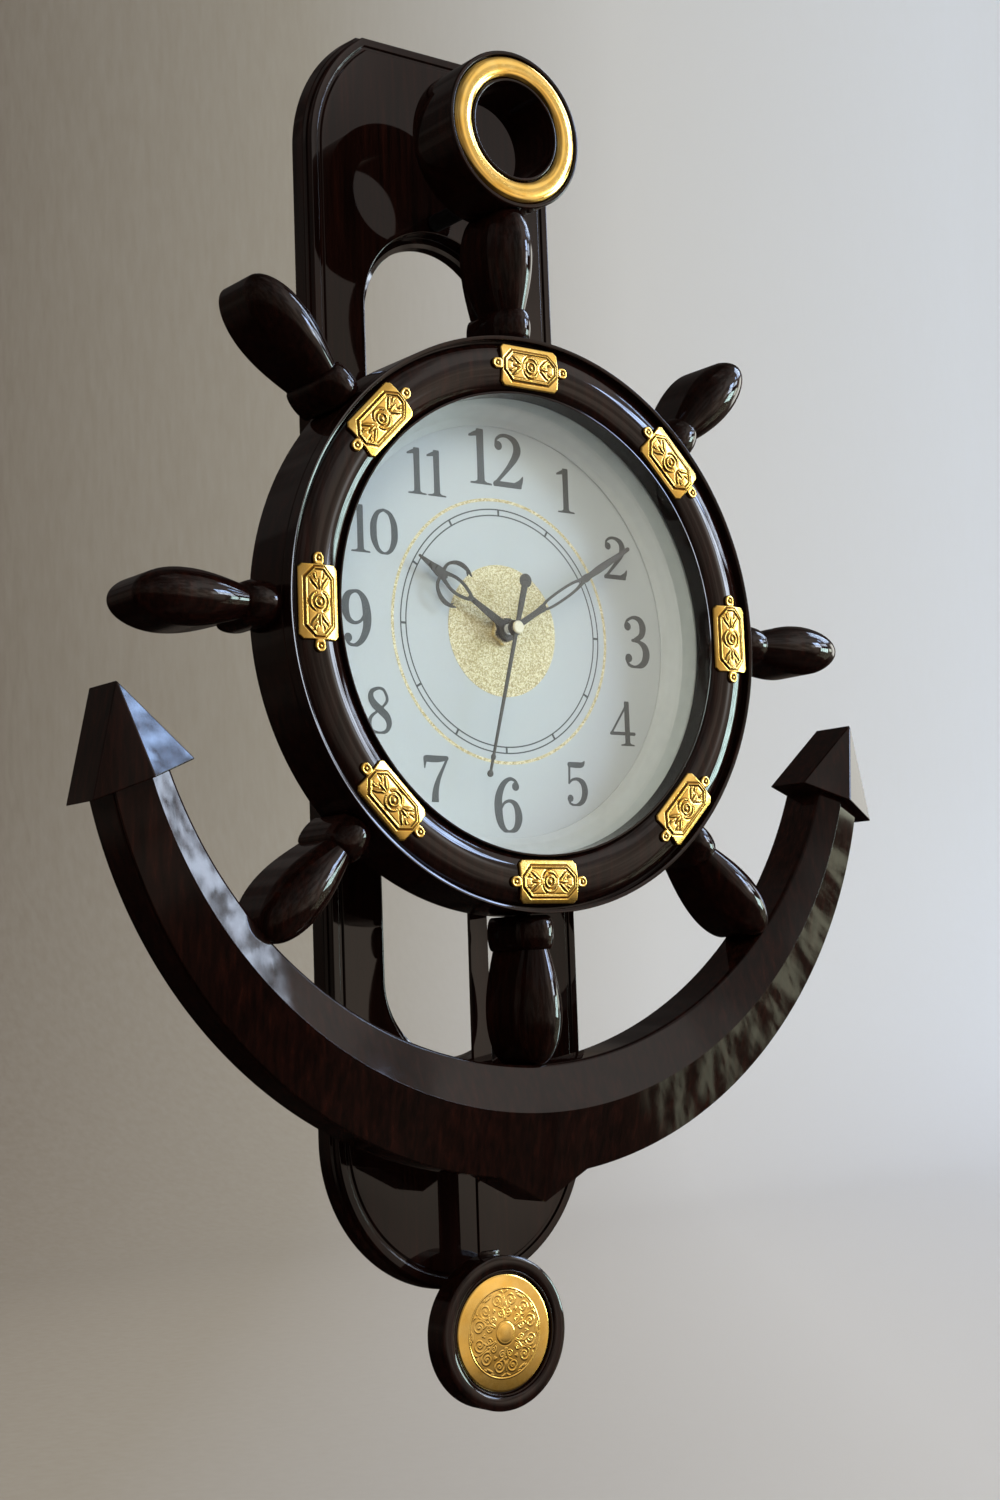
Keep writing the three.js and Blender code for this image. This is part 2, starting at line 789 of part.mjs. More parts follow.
function cartouche() {
  const near = beadBaseOff;
  const far = beadCrestOff + cartoucheThickness + overrun;
  const body = plate(
    chamfered(cartoucheHalfLength, cartoucheHalfRadial, cartoucheCorner, beadMiddle),
    near,
    far,
  );
  const bar = plate(
    rectangle(-lugReach, lugReach, beadMiddle - lugRadius, beadMiddle + lugRadius),
    near,
    far,
  );
  const round = (x, radius) => plate(ovalDisc(x, beadMiddle, radius, radius), near, far, detailSteps);
  const lugs = [-lugReach, lugReach].map((x) => round(x, lugRadius));
  const holes = [-lugReach, lugReach].map((x) => round(x, lugHoleRadius));
  const flat = within(join(body, bar, ...lugs), cartoucheShell(0, cartoucheThickness));
  const raisedShell = cartoucheShell(cartoucheThickness / 2, cartoucheThickness + cartoucheFrameRise);
  return cut(join(flat, within(cartoucheRelief(), raisedShell)), ...holes);
}

const compass = ['n', 'ne', 'e', 'se', 's', 'sw', 'w', 'nw'];
const cartoucheGeometry = cartouche();
compass.forEach((point, place) => {
  const mesh = piece(wheel, `cartouche_${point}`, cartoucheGeometry, gold);
  mesh.rotation.y = (fullTurn * place) / handleCount;
});

// Handles: a bead, a neck and a long bulb, half round in front and flat behind

const handleRootReach = wheelRadius + gap;

function handleRing(reach, half) {
  const ring = [[-half, -frameBackOff, reach]];
  for (let step = 0; step <= handleDomeSteps; step += 1) {
    const turn = (Math.PI * step) / handleDomeSteps;
    ring.push([-half * Math.cos(turn), -handleEdgeOff - half * Math.sin(turn), reach]);
  }
  ring.push([half, -frameBackOff, reach]);
  return ring;
}

function handle() {
  const rings = [];
  for (const share of beadStationShares) {
    const reach = handleRootReach + (handleNeckReach - handleRootReach) * share;
    const swell = Math.sqrt(1 - (2 * share - 1) ** 2);
    rings.push(handleRing(reach, handleNeckHalfWidth + (handleBeadHalfWidth - handleNeckHalfWidth) * swell));
  }
  for (const share of swellStationShares) {
    const reach = handleNeckReach + (handleBulbReach - handleNeckReach) * share;
    const swell = Math.sin(quarterTurn * share);
    rings.push(handleRing(reach, handleNeckHalfWidth + (handleBulbHalfWidth - handleNeckHalfWidth) * swell));
  }
  for (const share of tipStationShares) {
    const reach = handleBulbReach + (handleTipReach - handleBulbReach) * share;
    rings.push(handleRing(reach, handleBulbHalfWidth * Math.sqrt(1 - share * share)));
  }
  return skin(rings);
}

// The upper handle stops at the boss, and the three lower ones stop at the anchor's inner edge.
function fitted(geometry, point) {
  if (point === 'n') {
    const tool = disc(bossRadius + gap, 0, bossCrestOff + handleBulbHalfWidth);
    return cut(geometry, tool.translate(0, 0, wheelDrop - bossDrop));
  }
  if (['se', 's', 'sw'].includes(point)) {
    const front = handleEdgeOff + handleBulbHalfWidth + overrun;
    const limit = disc(armInnerRadius - gap, 0, front, fineSides);
    return within(geometry, limit.translate(0, 0, -armInnerDrop));
  }
  return geometry;
}

const handleGeometry = handle();
compass.forEach((point, place) => {
  const turnedHandle = handleGeometry.clone().rotateY((fullTurn * place) / handleCount);
  piece(wheel, `handle_${point}`, fitted(turnedHandle, point), lacquer);
});

// Anchor arms: a tapering arc with a ridge along its front and a pointed crown below

const armOuterRadius = armInnerRadius + armOuterSpare;
const armRidgeRadius = armInnerRadius + armRidgeSpare;

function onArc(radius, drop, degrees) {
  return [radius * Math.sin(radians(degrees)), -drop - radius * Math.cos(radians(degrees))];
}

function armRing(share) {
  const inner = onArc(armInnerRadius, armInnerDrop, armInnerAngle * share);
  const outer = onArc(armOuterRadius, armOuterDrop, armOuterAngle * share);
  const ridge = onArc(armRidgeRadius, armRidgeDrop, armRidgeAngle * share);
  const width = Math.hypot(outer[0] - inner[0], outer[1] - inner[1]);
  if (share === 0) outer[1] -= crownPointRise;
  const ridgeOff = armEdgeOff + armRiseShare * width;
  return [
    [inner[0], -frameBackOff, inner[1]],
    [inner[0], -armEdgeOff, inner[1]],
    [ridge[0], -ridgeOff, ridge[1]],
    [outer[0], -armEdgeOff, outer[1]],
    [outer[0], -frameBackOff, outer[1]],
  ];
}

function armShares() {
  const crownShare = THREE.MathUtils.radToDeg(Math.asin(crownHalfWidth / armOuterRadius)) / armOuterAngle;
  const side = [];
  for (let step = 0; step <= armSteps; step += 1) {
    side.push(crownShare + ((1 - crownShare) * step) / armSteps);
  }
  return [...side.map((share) => -share).reverse(), 0, ...side];
}

// Fluke: an arrowhead with a ridge from the middle of its base to its tip

const flukeTip = onArc(armInnerRadius + flukeTipReach, armInnerDrop, flukeTipAngle);
const flukeInnerBarb = onArc(armInnerRadius - flukeInnerBarbInset, armInnerDrop, flukeInnerBarbAngle);
const flukeOuterBarb = onArc(armInnerRadius + flukeOuterBarbReach, armInnerDrop, flukeOuterBarbAngle);

function fluke(side) {
  const ridgeFoot = flukeInnerBarb.map((place, axis) => (
    place + flukeRidgeShare * (flukeOuterBarb[axis] - place)
  ));
  const corners = [flukeTip, flukeInnerBarb, ridgeFoot, flukeOuterBarb];
  const rings = [frameBackOff, armEdgeOff].map(
    (off) => corners.map(([x, z]) => [side * x, -off, z]),
  );
  const crest = corners.map(([x, z]) => [side * x, -armEdgeOff - gap, z]);
  crest[corners.indexOf(ridgeFoot)][1] = -flukeRidgeOff;
  return skin([...rings, crest]);
}

piece(wheel, 'fluke_left', fluke(-1), lacquer);
piece(wheel, 'fluke_right', fluke(1), lacquer);

// The space of a fluke and what lies past its base, which ends the arm.
function flukeKeepOut(side) {
  const [tip, inner, outer] = [flukeTip, flukeInnerBarb, flukeOuterBarb];
  const base = flukeOuterBarbReach + flukeInnerBarbInset;
  const along = new THREE.Vector2(outer[0] - inner[0], outer[1] - inner[1]).normalize();
  const back = [along.y * gap, -along.x * gap];
  const shape = polygon([
    [side * (inner[0] + back[0] - along.x * base), inner[1] + back[1] - along.y * base],
    [side * (outer[0] + back[0] + along.x * base), outer[1] + back[1] + along.y * base],
    [side * (tip[0] + base), tip[1] + base],
    [side * (tip[0] - base), tip[1] + base],
  ]);
  return plate(shape, 0, flukeRidgeOff + overrun);
}

piece(wheel, 'anchor_arc', cut(skin(armShares().map(armRing)), flukeKeepOut(-1), flukeKeepOut(1)), lacquer);

// Gears: each body is its wheel, its pinion and its arbor in one solid

function gearOutline(teeth, module) {
  const points = [];
  const pitch = 360 / teeth;
  const root = module * (teeth / 2 - toothRootShare);
  const tip = module * (teeth / 2 + toothTipShare);
  for (let tooth = 0; tooth < teeth; tooth += 1) {
    points.push(around(tip, pitch * (tooth - toothTipHalfShare)));
    points.push(around(tip, pitch * (tooth + toothTipHalfShare)));
    points.push(around(root, pitch * (tooth + valleyShare)));
  }
  return polygon(points);
}

// A toothed disc whose first tooth points in a clock direction.
function gear(teeth, module, near, far, direction) {
  return plate(gearOutline(teeth, module), near, far).rotateY(radians(direction));
}

function arbor(near, far, radius = smallArborRadius) {
  return disc(radius, near, far, smallSides);
}

const halfSum = (first, second) => (first + second) / 2;
const intermediateDistance = trainModule * halfSum(intermediatePinionTeeth, secondsTeeth);
const rotorDistance = intermediateDistance + trainModule * halfSum(rotorTeeth, intermediateTeeth);
const thirdDistance = trainModule * halfSum(secondsPinionTeeth, thirdTeeth);
const centreModule = thirdDistance / halfSum(thirdPinionTeeth, centreTeeth);
const minuteDistance = motionModule * halfSum(cannonTeeth, minuteTeeth);
const hourModule = minuteDistance / halfSum(minutePinionTeeth, hourTeeth);
const halfTurnDegrees = 180;
const halfPitch = (teeth) => halfTurnDegrees / teeth;

function placed(name, geometry, material, distance, direction) {
  const [x, z] = around(distance, direction);
  piece(wheel, name, geometry, material).position.set(x, 0, z);
}

// A pinion points a tooth at its wheel, and the wheel points a gap back.
function pinion(teeth, module, wheelOff, direction) {
  return gear(teeth, module, wheelOff - pinionSpare, wheelOff + wheelThickness + pinionSpare, direction);
}

function toothedWheel(teeth, module, off, direction) {
  return gear(teeth, module, off, off + wheelThickness, direction + halfPitch(teeth));
}

placed('rotor', join(
  pinion(rotorTeeth, trainModule, intermediateOff, intermediateDirection + halfTurnDegrees),
  arbor(arborFootOff, rotorMagnetOff + rotorMagnetLength + gap),
  disc(rotorMagnetRadius, rotorMagnetOff, rotorMagnetOff + rotorMagnetLength, smallSides),
), steel, rotorDistance, intermediateDirection);

placed('intermediate_wheel', join(
  toothedWheel(intermediateTeeth, trainModule, intermediateOff, intermediateDirection),
  pinion(intermediatePinionTeeth, trainModule, secondsOff, intermediateDirection + halfTurnDegrees),
  arbor(arborFootOff, secondsOff + wheelThickness + pinionSpare),
), whitePlastic, intermediateDistance, intermediateDirection);

const secondsFootOff = intermediateOff + wheelThickness + pinionSpare;
const secondsTipOff = secondHandOff - gap;
placed('seconds_wheel', join(
  toothedWheel(secondsTeeth, trainModule, secondsOff, intermediateDirection),
  pinion(secondsPinionTeeth, trainModule, thirdOff, thirdDirection),
  arbor(secondsFootOff, secondsTipOff, secondsArborRadius),
), whitePlastic, 0, 0);

placed('third_wheel', join(
  toothedWheel(thirdTeeth, trainModule, thirdOff, thirdDirection + halfTurnDegrees),
  pinion(thirdPinionTeeth, centreModule, centreOff, thirdDirection + halfTurnDegrees),
  arbor(arborFootOff, centreOff + wheelThickness + pinionSpare),
), whitePlastic, thirdDistance, thirdDirection);

const minuteTubeFootOff = thirdOff + wheelThickness + pinionSpare + gap;
const centreBore = arbor(centreOff - overrun, centreOff + overrun, minuteTubeRadius + gap);
placed('centre_wheel', cut(
  toothedWheel(centreTeeth, centreModule, centreOff, thirdDirection),
  centreBore,
), whitePlastic, 0, 0);

const minuteTubeTipOff = secondHandOff - 2 * gap;
const minuteTubeTool = arbor(minuteTubeFootOff - overrun, minuteTubeTipOff + overrun, minuteTubeBore);
placed('minute_arbor', cut(join(
  pinion(cannonTeeth, motionModule, minuteOff, minuteDirection),
  arbor(minuteTubeFootOff, minuteTubeTipOff, minuteTubeRadius),
), minuteTubeTool), whitePlastic, 0, 0);

const coverBackOff = frameBackOff - gap - coverThickness;
const minutePinionEndOff = coverBackOff - gap;
const knobStemEndOff = caseBackOff + caseWall + gap;
placed('minute_wheel', join(
  toothedWheel(minuteTeeth, motionModule, minuteOff, minuteDirection + halfTurnDegrees),
  gear(minutePinionTeeth, hourModule, minuteOff, minutePinionEndOff, minuteDirection + halfTurnDegrees),
  arbor(knobStemEndOff + gap, minutePinionEndOff),
), whitePlastic, minuteDistance, minuteDirection);

const hourTubeTipOff = hourHandOff + handThickness + gap;
const hourTubeTool = arbor(hourOff - overrun, hourTubeTipOff + overrun, hourTubeBore);
placed('hour_wheel', cut(join(
  toothedWheel(hourTeeth, hourModule, hourOff, minuteDirection),
  arbor(hourOff, hourTubeTipOff, hourTubeRadius),
), hourTubeTool), whitePlastic, 0, 0);

// Setting knob, on the minute wheel's arbor behind the case

function settingKnob() {
  const far = caseBackOff - gap;
  const near = far - knobThickness;
  const grip = disc(knobRadius, near, far, smallSides);
  const grooves = [];
  for (let place = 0; place < knobGrooves; place += 1) {
    const [x, z] = around(knobRadius, (360 * place) / knobGrooves);
    const groove = disc(knobGrooveRadius, near - overrun, far + overrun, smallSides);
    grooves.push(groove.translate(x, 0, z));
  }
  return join(cut(grip, ...grooves), disc(knobStemRadius, near, knobStemEndOff, smallSides));
}

placed('setting_knob', settingKnob(), blackPlastic, minuteDistance, minuteDirection);

// Movement case: a tray with the gear space below and the battery bay above, open at its back

function movementCase() {
  const rim = coverBackOff - gap;
  const bayTop = caseTopRise;
  const bayWallTop = bayFloorRise + caseWall;
  const lower = block(-caseHalfWidth, caseHalfWidth, caseBackOff, rim, -caseBottomDrop, bayWallTop);
  const bay = block(-caseHalfWidth, caseHalfWidth, bayBackOff, rim, bayFloorRise, bayTop);
  const inside = caseHalfWidth - caseWall;
  const gearSpace = block(
    -inside,
    inside,
    caseBackOff + caseWall,
    rim + overrun,
    -caseBottomDrop + caseWall,
    bayFloorRise,
  );
  const bayTool = block(
    -inside,
    inside,
    bayBackOff - overrun,
    rim + overrun,
    bayFloorRise + caseWall,
    bayTop - caseWall,
  );
  const leadTool = block(
    -inside,
    inside,
    caseBackOff + caseWall,
    caseBackOff + caseWall + contactLeadWidth + 2 * gap,
    bayFloorRise - overrun,
    bayFloorRise + caseWall + overrun,
  );
  const [knobX, knobZ] = around(minuteDistance, minuteDirection);
  const knobHole = disc(knobStemRadius + gap, 0, rim, smallSides).translate(knobX, 0, knobZ);
  const shell = cut(join(lower, bay), gearSpace, bayTool, leadTool, knobHole);
  const posts = [-statorLeftReach + statorLegWidth / 2, -statorRightReach - statorLegWidth / 2].map((x) => (
    disc(casePostRadius, caseBackOff, statorOff - gap, smallSides).translate(x, 0, statorLegWidth - coreDrop)
  ));
  const pivot = disc(pivotRadius, pivotHeadOff, caseBackOff + caseWall, smallSides);
  return join(shell, ...posts, pivot.translate(0, 0, -pivotDrop));
}

piece(wheel, 'movement_case', movementCase(), blackPlastic);

// Cover: the case's front plate with the bush that passes through drum and dial

const coverBody = block(
  -caseHalfWidth,
  caseHalfWidth,
  coverBackOff,
  frameBackOff - gap,
  -caseBottomDrop,
  caseTopRise,
);
piece(wheel, 'movement_cover', cut(
  join(coverBody, arbor(coverBackOff, bushEndOff, bushRadius)),
  arbor(coverBackOff - overrun, bushEndOff + overrun, bushBoreRadius),
), blackPlastic);

const nutOff = dialFaceOff + gap;
const nutCorner = nutAcrossFlats / 2 / Math.cos(Math.PI / nutSides);
piece(wheel, 'hex_nut', cut(
  disc(nutCorner, nutOff, nutOff + nutThickness, nutSides),
  arbor(nutOff - overrun, nutOff + overrun + nutThickness, bushHoleRadius),
), brass);

// Battery and contacts

const batteryOff = coverBackOff - gap - batteryRadius;

function battery() {
  const end = batteryHalfLength;
  const cell = turned([
    [0, -end],
    [batteryRadius, -end],
    [batteryRadius, end],
    [batteryNubRadius, end],
    [batteryNubRadius, end + batteryNubLength],
    [0, end + batteryNubLength],
  ], smallSides);
  return cell.rotateZ(quarterTurn).translate(0, -batteryOff, batteryRise);
}

piece(wheel, 'battery', battery(), batteryJacket);

const positiveReach = batteryHalfLength + batteryNubLength + gap;
const negativeReach = batteryHalfLength + gap;

// A contact is a spring leaf at the battery's end with a narrow lead down the case's side.
function contact(reach, side, leadBottomDrop) {
  const outer = reach + contactThickness;
  const [left, right] = side > 0 ? [reach, outer] : [-outer, -reach];
  const leaf = block(
    left,
    right,
    batteryOff - contactWidth / 2,
    batteryOff + contactWidth / 2,
    batteryRise - contactWidth / 2,
    batteryRise + contactWidth / 2,
  );
  const leadNear = caseBackOff + caseWall + gap;
  const lead = block(left, right, leadNear, leadNear + contactLeadWidth, -leadBottomDrop, batteryRise);
  return join(leaf, lead);
}

piece(wheel, 'battery_contact_pos', contact(positiveReach, 1, circuitTopDrop + contactWidth), steel);
piece(wheel, 'battery_contact_neg', contact(negativeReach, -1, circuitTopDrop + contactWidth), steel);

// Motor: a stator plate round the rotor, with its core through the coil

const [rotorX, rotorZ] = around(rotorDistance, intermediateDirection);
const statorFar = statorOff + statorThickness;

function stator() {
  const bottom = -coreDrop - coreHalfHeight;
  const outline = rectangle(-statorLeftReach, -statorRightReach, bottom, -statorTopDrop);
  outline.holes.push(rectangle(
    -statorLeftReach + statorLegWidth,
    -statorRightReach - statorLegWidth,
    bottom + 2 * coreHalfHeight,
    -statorWindowTopDrop,
  ));
  const eye = disc(rotorMagnetRadius + gap, statorOff - overrun, statorFar + overrun, smallSides);
  return cut(plate(outline, statorOff, statorFar), eye.translate(rotorX, 0, rotorZ));
}

piece(wheel, 'stator', stator(), steel);

function motorCoil() {
  const left = -statorLeftReach + statorLegWidth + gap;
  const right = -statorRightReach - statorLegWidth - gap;
  const middleOff = halfSum(statorOff, statorFar);
  const flangeRadius = coilRadius + coilFlange;
  const winding = turned([
    [0, left],
    [flangeRadius, left],
    [flangeRadius, left + coilFlangeThickness],
    [coilRadius, left + coilFlangeThickness],
    [coilRadius, right - coilFlangeThickness],
    [flangeRadius, right - coilFlangeThickness],
    [flangeRadius, right],
    [0, right],
  ], smallSides);
  winding.rotateZ(quarterTurn).translate(0, -middleOff, -coreDrop);
  const bore = block(
    left - overrun,
    right + overrun,
    statorOff - gap,
    statorFar + gap,
    -coreDrop - coreHalfHeight - gap,
    -coreDrop + coreHalfHeight + gap,
  );
  return cut(winding, bore);
}

piece(wheel, 'motor_coil', motorCoil(), copper);

// Circuit board and pendulum drive coil

const circuitOff = caseBackOff + caseWall + gap;
const circuitFar = circuitOff + boardCircuitThickness;
const chipX = halfSum(circuitLeft, circuitRight);
const chipZ = -halfSum(circuitTopDrop, circuitBottomDrop);
const chipFar = circuitFar + chipThickness;
piece(wheel, 'circuit_board', join(
  block(circuitLeft, circuitRight, circuitOff, circuitFar, -circuitBottomDrop, -circuitTopDrop),
  block(chipX - chipHalf, chipX + chipHalf, circuitOff, chipFar, chipZ - chipHalf, chipZ + chipHalf),
), circuitGreen);

const driveCoil = piece(
  wheel,
  'drive_coil',
  disc(driveCoilRadius, circuitOff, circuitOff + driveCoilLength, smallSides),
  copper,
);
driveCoil.position.z = -driveCoilDrop;

// Pendulum: a hanger on the case's pivot, a flat rod hooked on it, and the bob

const hangerFar = hangerPlateOff + hangerPlateThickness;
const rodFront = rodBackOff + rodThickness;
const hangerArm = join(
  disc(hangerEyeRadius, hangerPlateOff, hangerFar, smallSides),
  block(-hangerArmHalfWidth, hangerArmHalfWidth, hangerPlateOff, hangerFar, -hangerHookDrop, 0),
  disc(hangerArmHalfWidth, hangerPlateOff, hangerFar, smallSides).translate(0, 0, -hangerHookDrop),
  disc(hangerHookRadius, hangerPlateOff, rodFront, smallSides).translate(0, 0, -hangerHookDrop),
);
const pivotBore = disc(pivotRadius + gap, 0, caseBackOff, smallSides);
piece(pendulum, 'pendulum_hanger', cut(hangerArm, pivotBore), whitePlastic);

function pendulumRod() {
  const top = -hangerHookDrop + rodTopHalfWidth;
  const bottom = -bobDrop + bobRadius + gap;
  const outline = polygon([
    [-rodTopHalfWidth, top],
    [-rodBottomHalfWidth, bottom],
    [-rodTongueHalfWidth, bottom],
    [-rodTongueHalfWidth, bottom - rodTongueLength],
    [rodTongueHalfWidth, bottom - rodTongueLength],
    [rodTongueHalfWidth, bottom],
    [rodBottomHalfWidth, bottom],
    [rodTopHalfWidth, top],
  ]);
  const eye = disc(hangerHookRadius + gap, 0, frameBackOff, smallSides).translate(0, 0, -hangerHookDrop);
  return cut(plate(outline, rodBackOff, rodFront), eye);
}

piece(pendulum, 'pendulum_rod', pendulumRod(), lacquer);

const medallionOff = bobFaceOff + gap;
const bobBody = turned([
  [0, bobBackOff],
  [bobRadius - bobBackRound, bobBackOff],
  [bobRadius, bobBackOff + bobBackRound],
  [bobRadius, bobFrontOff - bobRound],
  [bobRadius - bobRound / 4, bobFrontOff - bobRound / 4],
  [bobRadius - bobRound, bobFrontOff],
  [medallionRadius + gap + bobRound / 2, bobFrontOff],
  [medallionRadius + gap, bobFrontOff - bobRound / 2],
  [medallionRadius + gap, bobFaceOff],
  [0, bobFaceOff],
], mediumSides);
const tongueSocket = block(
  -rodTongueHalfWidth - gap,
  rodTongueHalfWidth + gap,
  rodBackOff - gap,
  rodFront + gap,
  bobRadius - rodTongueLength - gap,
  bobRadius + overrun,
);
piece(pendulum, 'bob_case', cut(bobBody, tongueSocket), lacquer).position.z = -bobDrop;

const medallionFace = medallionOff + medallionEdge;
const medallionCrest = medallionOff + medallionRise;
piece(pendulum, 'bob_medallion', turned([
  [0, medallionOff],
  [medallionRadius, medallionOff],
  [medallionRadius, medallionFace],
  [medallionRingRadius + medallionRingHalfWidth, halfSum(medallionFace, medallionCrest)],
  [medallionRingRadius, halfSum(medallionFace, medallionCrest) + medallionRingRise],
  [medallionRingRadius - medallionRingHalfWidth, halfSum(medallionFace, medallionCrest)],
  [medallionButtonRadius, medallionCrest],
  [medallionButtonRadius / 2, medallionCrest + medallionButtonRise],
  [0, medallionCrest + medallionButtonRise],
], mediumSides), gold).position.z = -bobDrop;

// Hands, drawn pointing up and then turned to their rest time

// A long leaf between two reaches, with a slot that leaves a narrow band round it.
function loop(start, end, half, off) {
  const middle = halfSum(start, end);
  const leaf = ovalDisc(0, middle, half, (end - start) / 2);
  leaf.holes.push(ovalDisc(0, middle, half - loopBandWidth, (end - start) / 2 - 2 * loopBandWidth));
  return plate(leaf, off, off + handThickness);
}

function spear(start, reach, off) {
  const widest = start + spearShoulder;
  const outline = polygon([
    [0, reach],
    [spearHalfWidth, widest],
    [spearNeckHalfWidth, start - loopBandWidth],
    [-spearNeckHalfWidth, start - loopBandWidth],
    [-spearHalfWidth, widest],
  ]);
  return plate(outline, off, off + handThickness);
}

function stem(end, hub, off) {
  const far = off + handThickness;
  const bar = plate(rectangle(-stemHalfWidth, stemHalfWidth, 0, end + loopBandWidth), off, far);
  return join(bar, disc(hub, off, far, smallSides));
}

function hook(side, off) {
  const shape = new THREE.Shape();
  const [from, to] = [radians(hookStart), radians(hookEnd)];
  shape.absarc(hookSpread, hookReach, hookOuterRadius, from, to, true);
  shape.absarc(hookSpread, hookReach, hookInnerRadius, to, from, false);
  shape.closePath();
  const geometry = plate(shape, off, off + handThickness, detailSteps);
  return side > 0 ? geometry : geometry.rotateZ(Math.PI).translate(0, -2 * off - handThickness, 0);
}

function handBore(radius, off) {
  return arbor(off - overrun, off + overrun, radius);
}

const hourHand = cut(join(
  stem(hourLoopStart, hourHubRadius, hourHandOff),
  loop(hourLoopStart, hourLoopEnd, hourLoopHalfWidth, hourHandOff),
  hook(1, hourHandOff),
  hook(-1, hourHandOff),
  spear(hourLoopEnd, hourReach, hourHandOff),
), handBore(hourTubeRadius + gap, hourHandOff));
piece(wheel, 'hour_hand', hourHand, handMetal).rotation.y = radians(hourDirection);

const minuteHand = cut(join(
  stem(minuteLoopStart, minuteHubRadius, minuteHandOff),
  loop(minuteLoopStart, minuteLoopEnd, minuteLoopHalfWidth, minuteHandOff),
  spear(minuteLoopEnd, minuteReach, minuteHandOff),
), handBore(minuteTubeRadius + gap, minuteHandOff));
piece(wheel, 'minute_hand', minuteHand, handMetal).rotation.y = radians(minuteDirectionOfHand);

const secondFar = secondHandOff + handThickness;
const secondHand = join(
  plate(polygon([
    [-secondTailHalfWidth, -secondTailReach],
    [secondTailHalfWidth, -secondTailReach],
    [secondHalfWidth, 0],
    [secondHalfWidth / 2, secondReach],
    [-secondHalfWidth / 2, secondReach],
    [-secondHalfWidth, 0],
  ]), secondHandOff, secondFar),
  disc(secondHubRadius, secondHandOff, secondFar, smallSides),
  disc(secondTailRadius, secondHandOff, secondFar, smallSides).translate(0, 0, -secondTailReach),
  disc(secondBeadRadius, secondHandOff, secondFar, smallSides).translate(0, 0, secondBeadReach),
);
piece(wheel, 'second_hand', secondHand, handMetal).rotation.y = radians(secondDirection);

const capOff = secondFar + gap;
piece(wheel, 'hub_cap', turned([
  [0, capOff],
  [hubCapRadius, capOff],
  [hubCapRadius, capOff + hubCapThickness / 2],
  [hubCapRadius / 2, capOff + hubCapThickness],
  [0, capOff + hubCapThickness],
], smallSides), gold);

export default clock;
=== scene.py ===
# %% [markdown]
# # Ship wheel wall clock
#
# A round clock is the hub of an eight-handled ship's wheel. The wheel hangs inside a ship's anchor, and
# both stand off the front of a tall slotted backboard. A pendulum swings between wheel and board.
#
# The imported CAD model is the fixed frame. This script dresses it: finer solids for all that shows, the
# printed dial, the embossed gold trim and a node material for every piece.
#
# The object's lengths are millimetres, times `MM` where metres are asked for. X runs right, Z up. A value ending
# in `_OFF` is a distance out from the wall, which is towards negative Y. The nail is the origin.

import math

import bmesh
import bpy
import numpy as np
from mathutils import Matrix, Vector
from mathutils.geometry import tessellate_polygon


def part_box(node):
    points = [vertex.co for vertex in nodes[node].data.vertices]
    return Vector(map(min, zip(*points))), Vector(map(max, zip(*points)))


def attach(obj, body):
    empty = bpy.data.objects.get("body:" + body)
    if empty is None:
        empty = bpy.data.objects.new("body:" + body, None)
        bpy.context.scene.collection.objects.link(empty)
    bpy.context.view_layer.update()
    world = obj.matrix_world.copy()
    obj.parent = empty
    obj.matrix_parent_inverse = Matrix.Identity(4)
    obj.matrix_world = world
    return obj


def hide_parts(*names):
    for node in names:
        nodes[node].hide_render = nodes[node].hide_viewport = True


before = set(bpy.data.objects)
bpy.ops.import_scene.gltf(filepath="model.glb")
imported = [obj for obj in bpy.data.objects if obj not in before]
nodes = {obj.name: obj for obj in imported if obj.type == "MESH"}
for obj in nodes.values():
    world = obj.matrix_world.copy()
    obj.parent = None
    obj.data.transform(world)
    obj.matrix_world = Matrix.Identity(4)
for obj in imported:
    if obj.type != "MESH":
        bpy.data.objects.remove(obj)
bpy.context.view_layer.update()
MM = 0.001

# %% [markdown]
# ## Camera
#
# The eye, turn and focal length were fitted to the round outlines of wheel, boss and bob in the photograph,
# with the lens and a square pixel as in an ordinary camera.

# %% Camera
EYE = Vector((-0.5019, -0.7028, -0.3250))
ROLL, PITCH, YAW = (math.radians(angle) for angle in (-2.049, -6.225, 37.188))
FOCAL_MM, SENSOR_MM = 53.62, 36
turn = Matrix.Rotation(ROLL, 3, "Y") @ Matrix.Rotation(PITCH, 3, "X") @ Matrix.Rotation(YAW, 3, "Z")
right, forward, up = turn.row[0], turn.row[1], turn.row[2]

lens = bpy.data.cameras.new("camera")
lens.lens = FOCAL_MM
lens.sensor_width = SENSOR_MM
lens.sensor_fit = "AUTO"
camera = bpy.data.objects.new("camera", lens)
camera.matrix_world = Matrix.Translation(EYE) @ Matrix((right, up, -forward)).transposed().to_4x4()
bpy.context.scene.collection.objects.link(camera)
bpy.context.scene.camera = camera
bpy.context.scene.view_settings.view_transform = "Standard"
print("camera looks along", [round(part, 3) for part in forward])

# %% [markdown]
# ## Node materials
#
# Each finish is a small node tree around one Principled shader. The tree works in object coordinates, so the
# grain stays where it is when a piece moves. `add_node` makes a node with its inputs, here and for the world, and
# `Finish` keeps what all finishes need.


# %% Node helpers
def feed(tree, socket, source):
    """Joins an input to a node's output, or sets its value. A colour gets an alpha of one."""
    if isinstance(source, bpy.types.NodeSocket):
        tree.links.new(source, socket)
    elif source is not None:
        socket.default_value = (*source, 1) if socket.type == "RGBA" else source


def add_node(tree, kind, *sources, **settings):
    """A node with its settings, and its first inputs joined or set."""
    made = tree.nodes.new(kind)
    for setting, value in settings.items():
        setattr(made, setting, value)
    for socket, source in zip(made.inputs, sources):
        feed(tree, socket, source)
    return made


